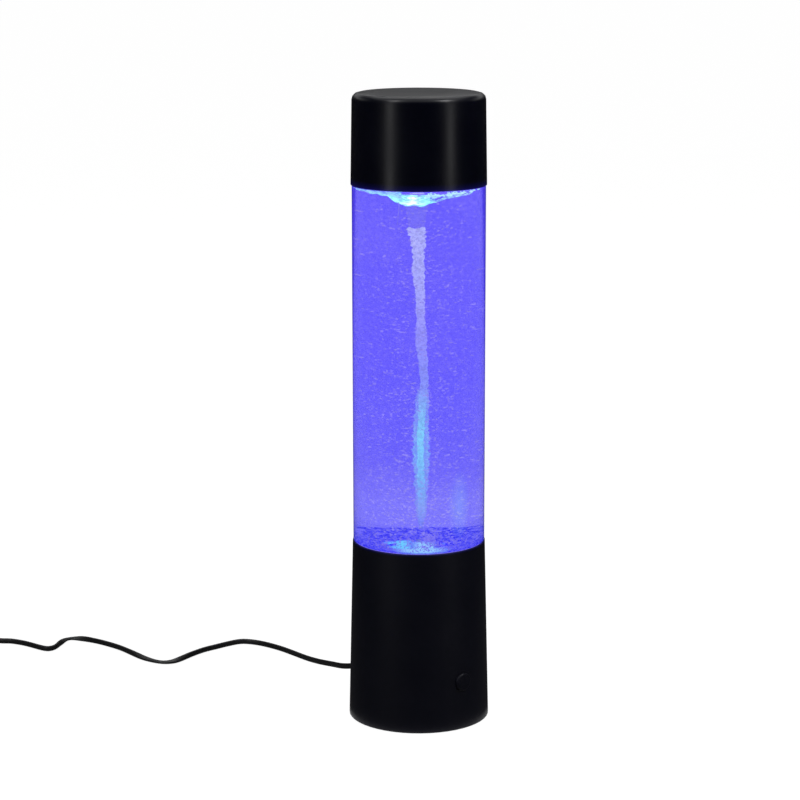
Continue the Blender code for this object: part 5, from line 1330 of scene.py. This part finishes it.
def add_flakes():
    """Fine glitter carried round by the water, thicker in its lower half, and more over the floor."""
    bed = FLOOR_TOP + BED_FLAKE_LIFT
    low, high = FLOOR_TOP + CLEAR_OVER_BED, STILL_LEVEL - FLAKE_SURFACE_GAP
    widest = WATER_RADIUS - FLAKE_WALL_GAP
    stops = (
        (0.000, (0.110, 0.095, 0.68)),
        (0.022, (0.150, 0.130, 0.70)),
        (0.040, (0.220, 0.200, 0.70)),
        (0.300, (0.270, 0.240, 0.68)),
        (1.000, (0.260, 0.220, 0.66)),
    )
    light = glowing("flake_light", stops, FLOOR_TOP, STILL_LEVEL, alpha=0.75, mottle=0.3)
    shape = bmesh.new()
    for _ in range(FLAKE_COUNT):
        height = crowded(low, high, FLAKE_CROWDING)
        reach = widest * math.sqrt(random.uniform(FLAKE_CORE_SHARE, 1))
        turn = math.tau * random.random()
        along = Vector((-math.sin(turn), math.cos(turn), jitter(FLAKE_TILT))).normalized()
        add_flake(shape, Vector((reach * math.cos(turn), reach * math.sin(turn), height)), along)
    for number in range(BED_FLAKE_COUNT):
        height = crowded(bed, bed + BED_FLAKE_RISE, BED_FLAKE_CROWDING)
        reach = widest * math.sqrt(random.random())
        turn = math.tau * random.random()
        place = (reach * math.cos(turn), reach * math.sin(turn))
        if number < PLUME_SHARE * BED_FLAKE_COUNT:
            place = toward_viewer(random.uniform(*PLUME_ASIDE), random.uniform(*PLUME_AHEAD))
        along = Vector([jitter(1) for _ in range(3)]).normalized()
        add_flake(shape, Vector((*place, height)), along)
    in_lamp(add_mesh_object("water_glitter", shape, light, smooth=False))


def add_bed():
    """Glitter settled on the tank's floor, heaped at the back and thin at the front."""
    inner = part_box("impeller")[1][0] + BED_PAST_IMPELLER
    outer = WATER_RADIUS - BED_WALL_GAP
    heap_start, heap_end = BED_HEAP_SHARES
    shape = bmesh.new()
    rings = []
    for i in range(BED_RINGS + 1):
        share = i / BED_RINGS
        reach = inner + (outer - inner) * share
        ring = []
        for turn in turns(BED_STEPS):
            back = 0.5 - 0.5 * math.cos(turn)
            heap = smooth_step(min(max((back - heap_start) / (heap_end - heap_start), 0), 1))
            wall = BED_FRONT_HEIGHT + (BED_BACK_HEIGHT - BED_FRONT_HEIGHT) * heap
            height = BED_EDGE_HEIGHT + (wall - BED_EDGE_HEIGHT) * share**2
            rough = jitter(BED_ROUGHNESS) * min(1, height / BED_FRONT_HEIGHT)
            ring.append(shape.verts.new((*spoke(turn, reach), FLOOR_TOP + height + rough)))
        rings.append(ring)
    under = FLOOR_TOP - BED_SUNK
    for reach in (outer, inner):
        rings.append([shape.verts.new((*spoke(turn, reach), under)) for turn in turns(BED_STEPS)])
    skin(shape, rings, closed=True)
    in_lamp(add_solid("glitter_bed", shape, lit_floor("bed_light"), smooth=False))


def build_scene():
    bpy.context.scene.view_settings.view_transform = "Standard"
    add_camera()
    front_lights = add_lights()
    add_world()
    add_floor()
    add_flags()
    dress_nodes()
    add_cord()
    keep_off(front_lights, (add_tank_glass(), add_water()))
    add_vortex()
    add_surface_line()
    add_bubbles()
    add_flakes()
    add_bed()
    add_tube_light()
    smooth_shown_nodes()


build_scene()
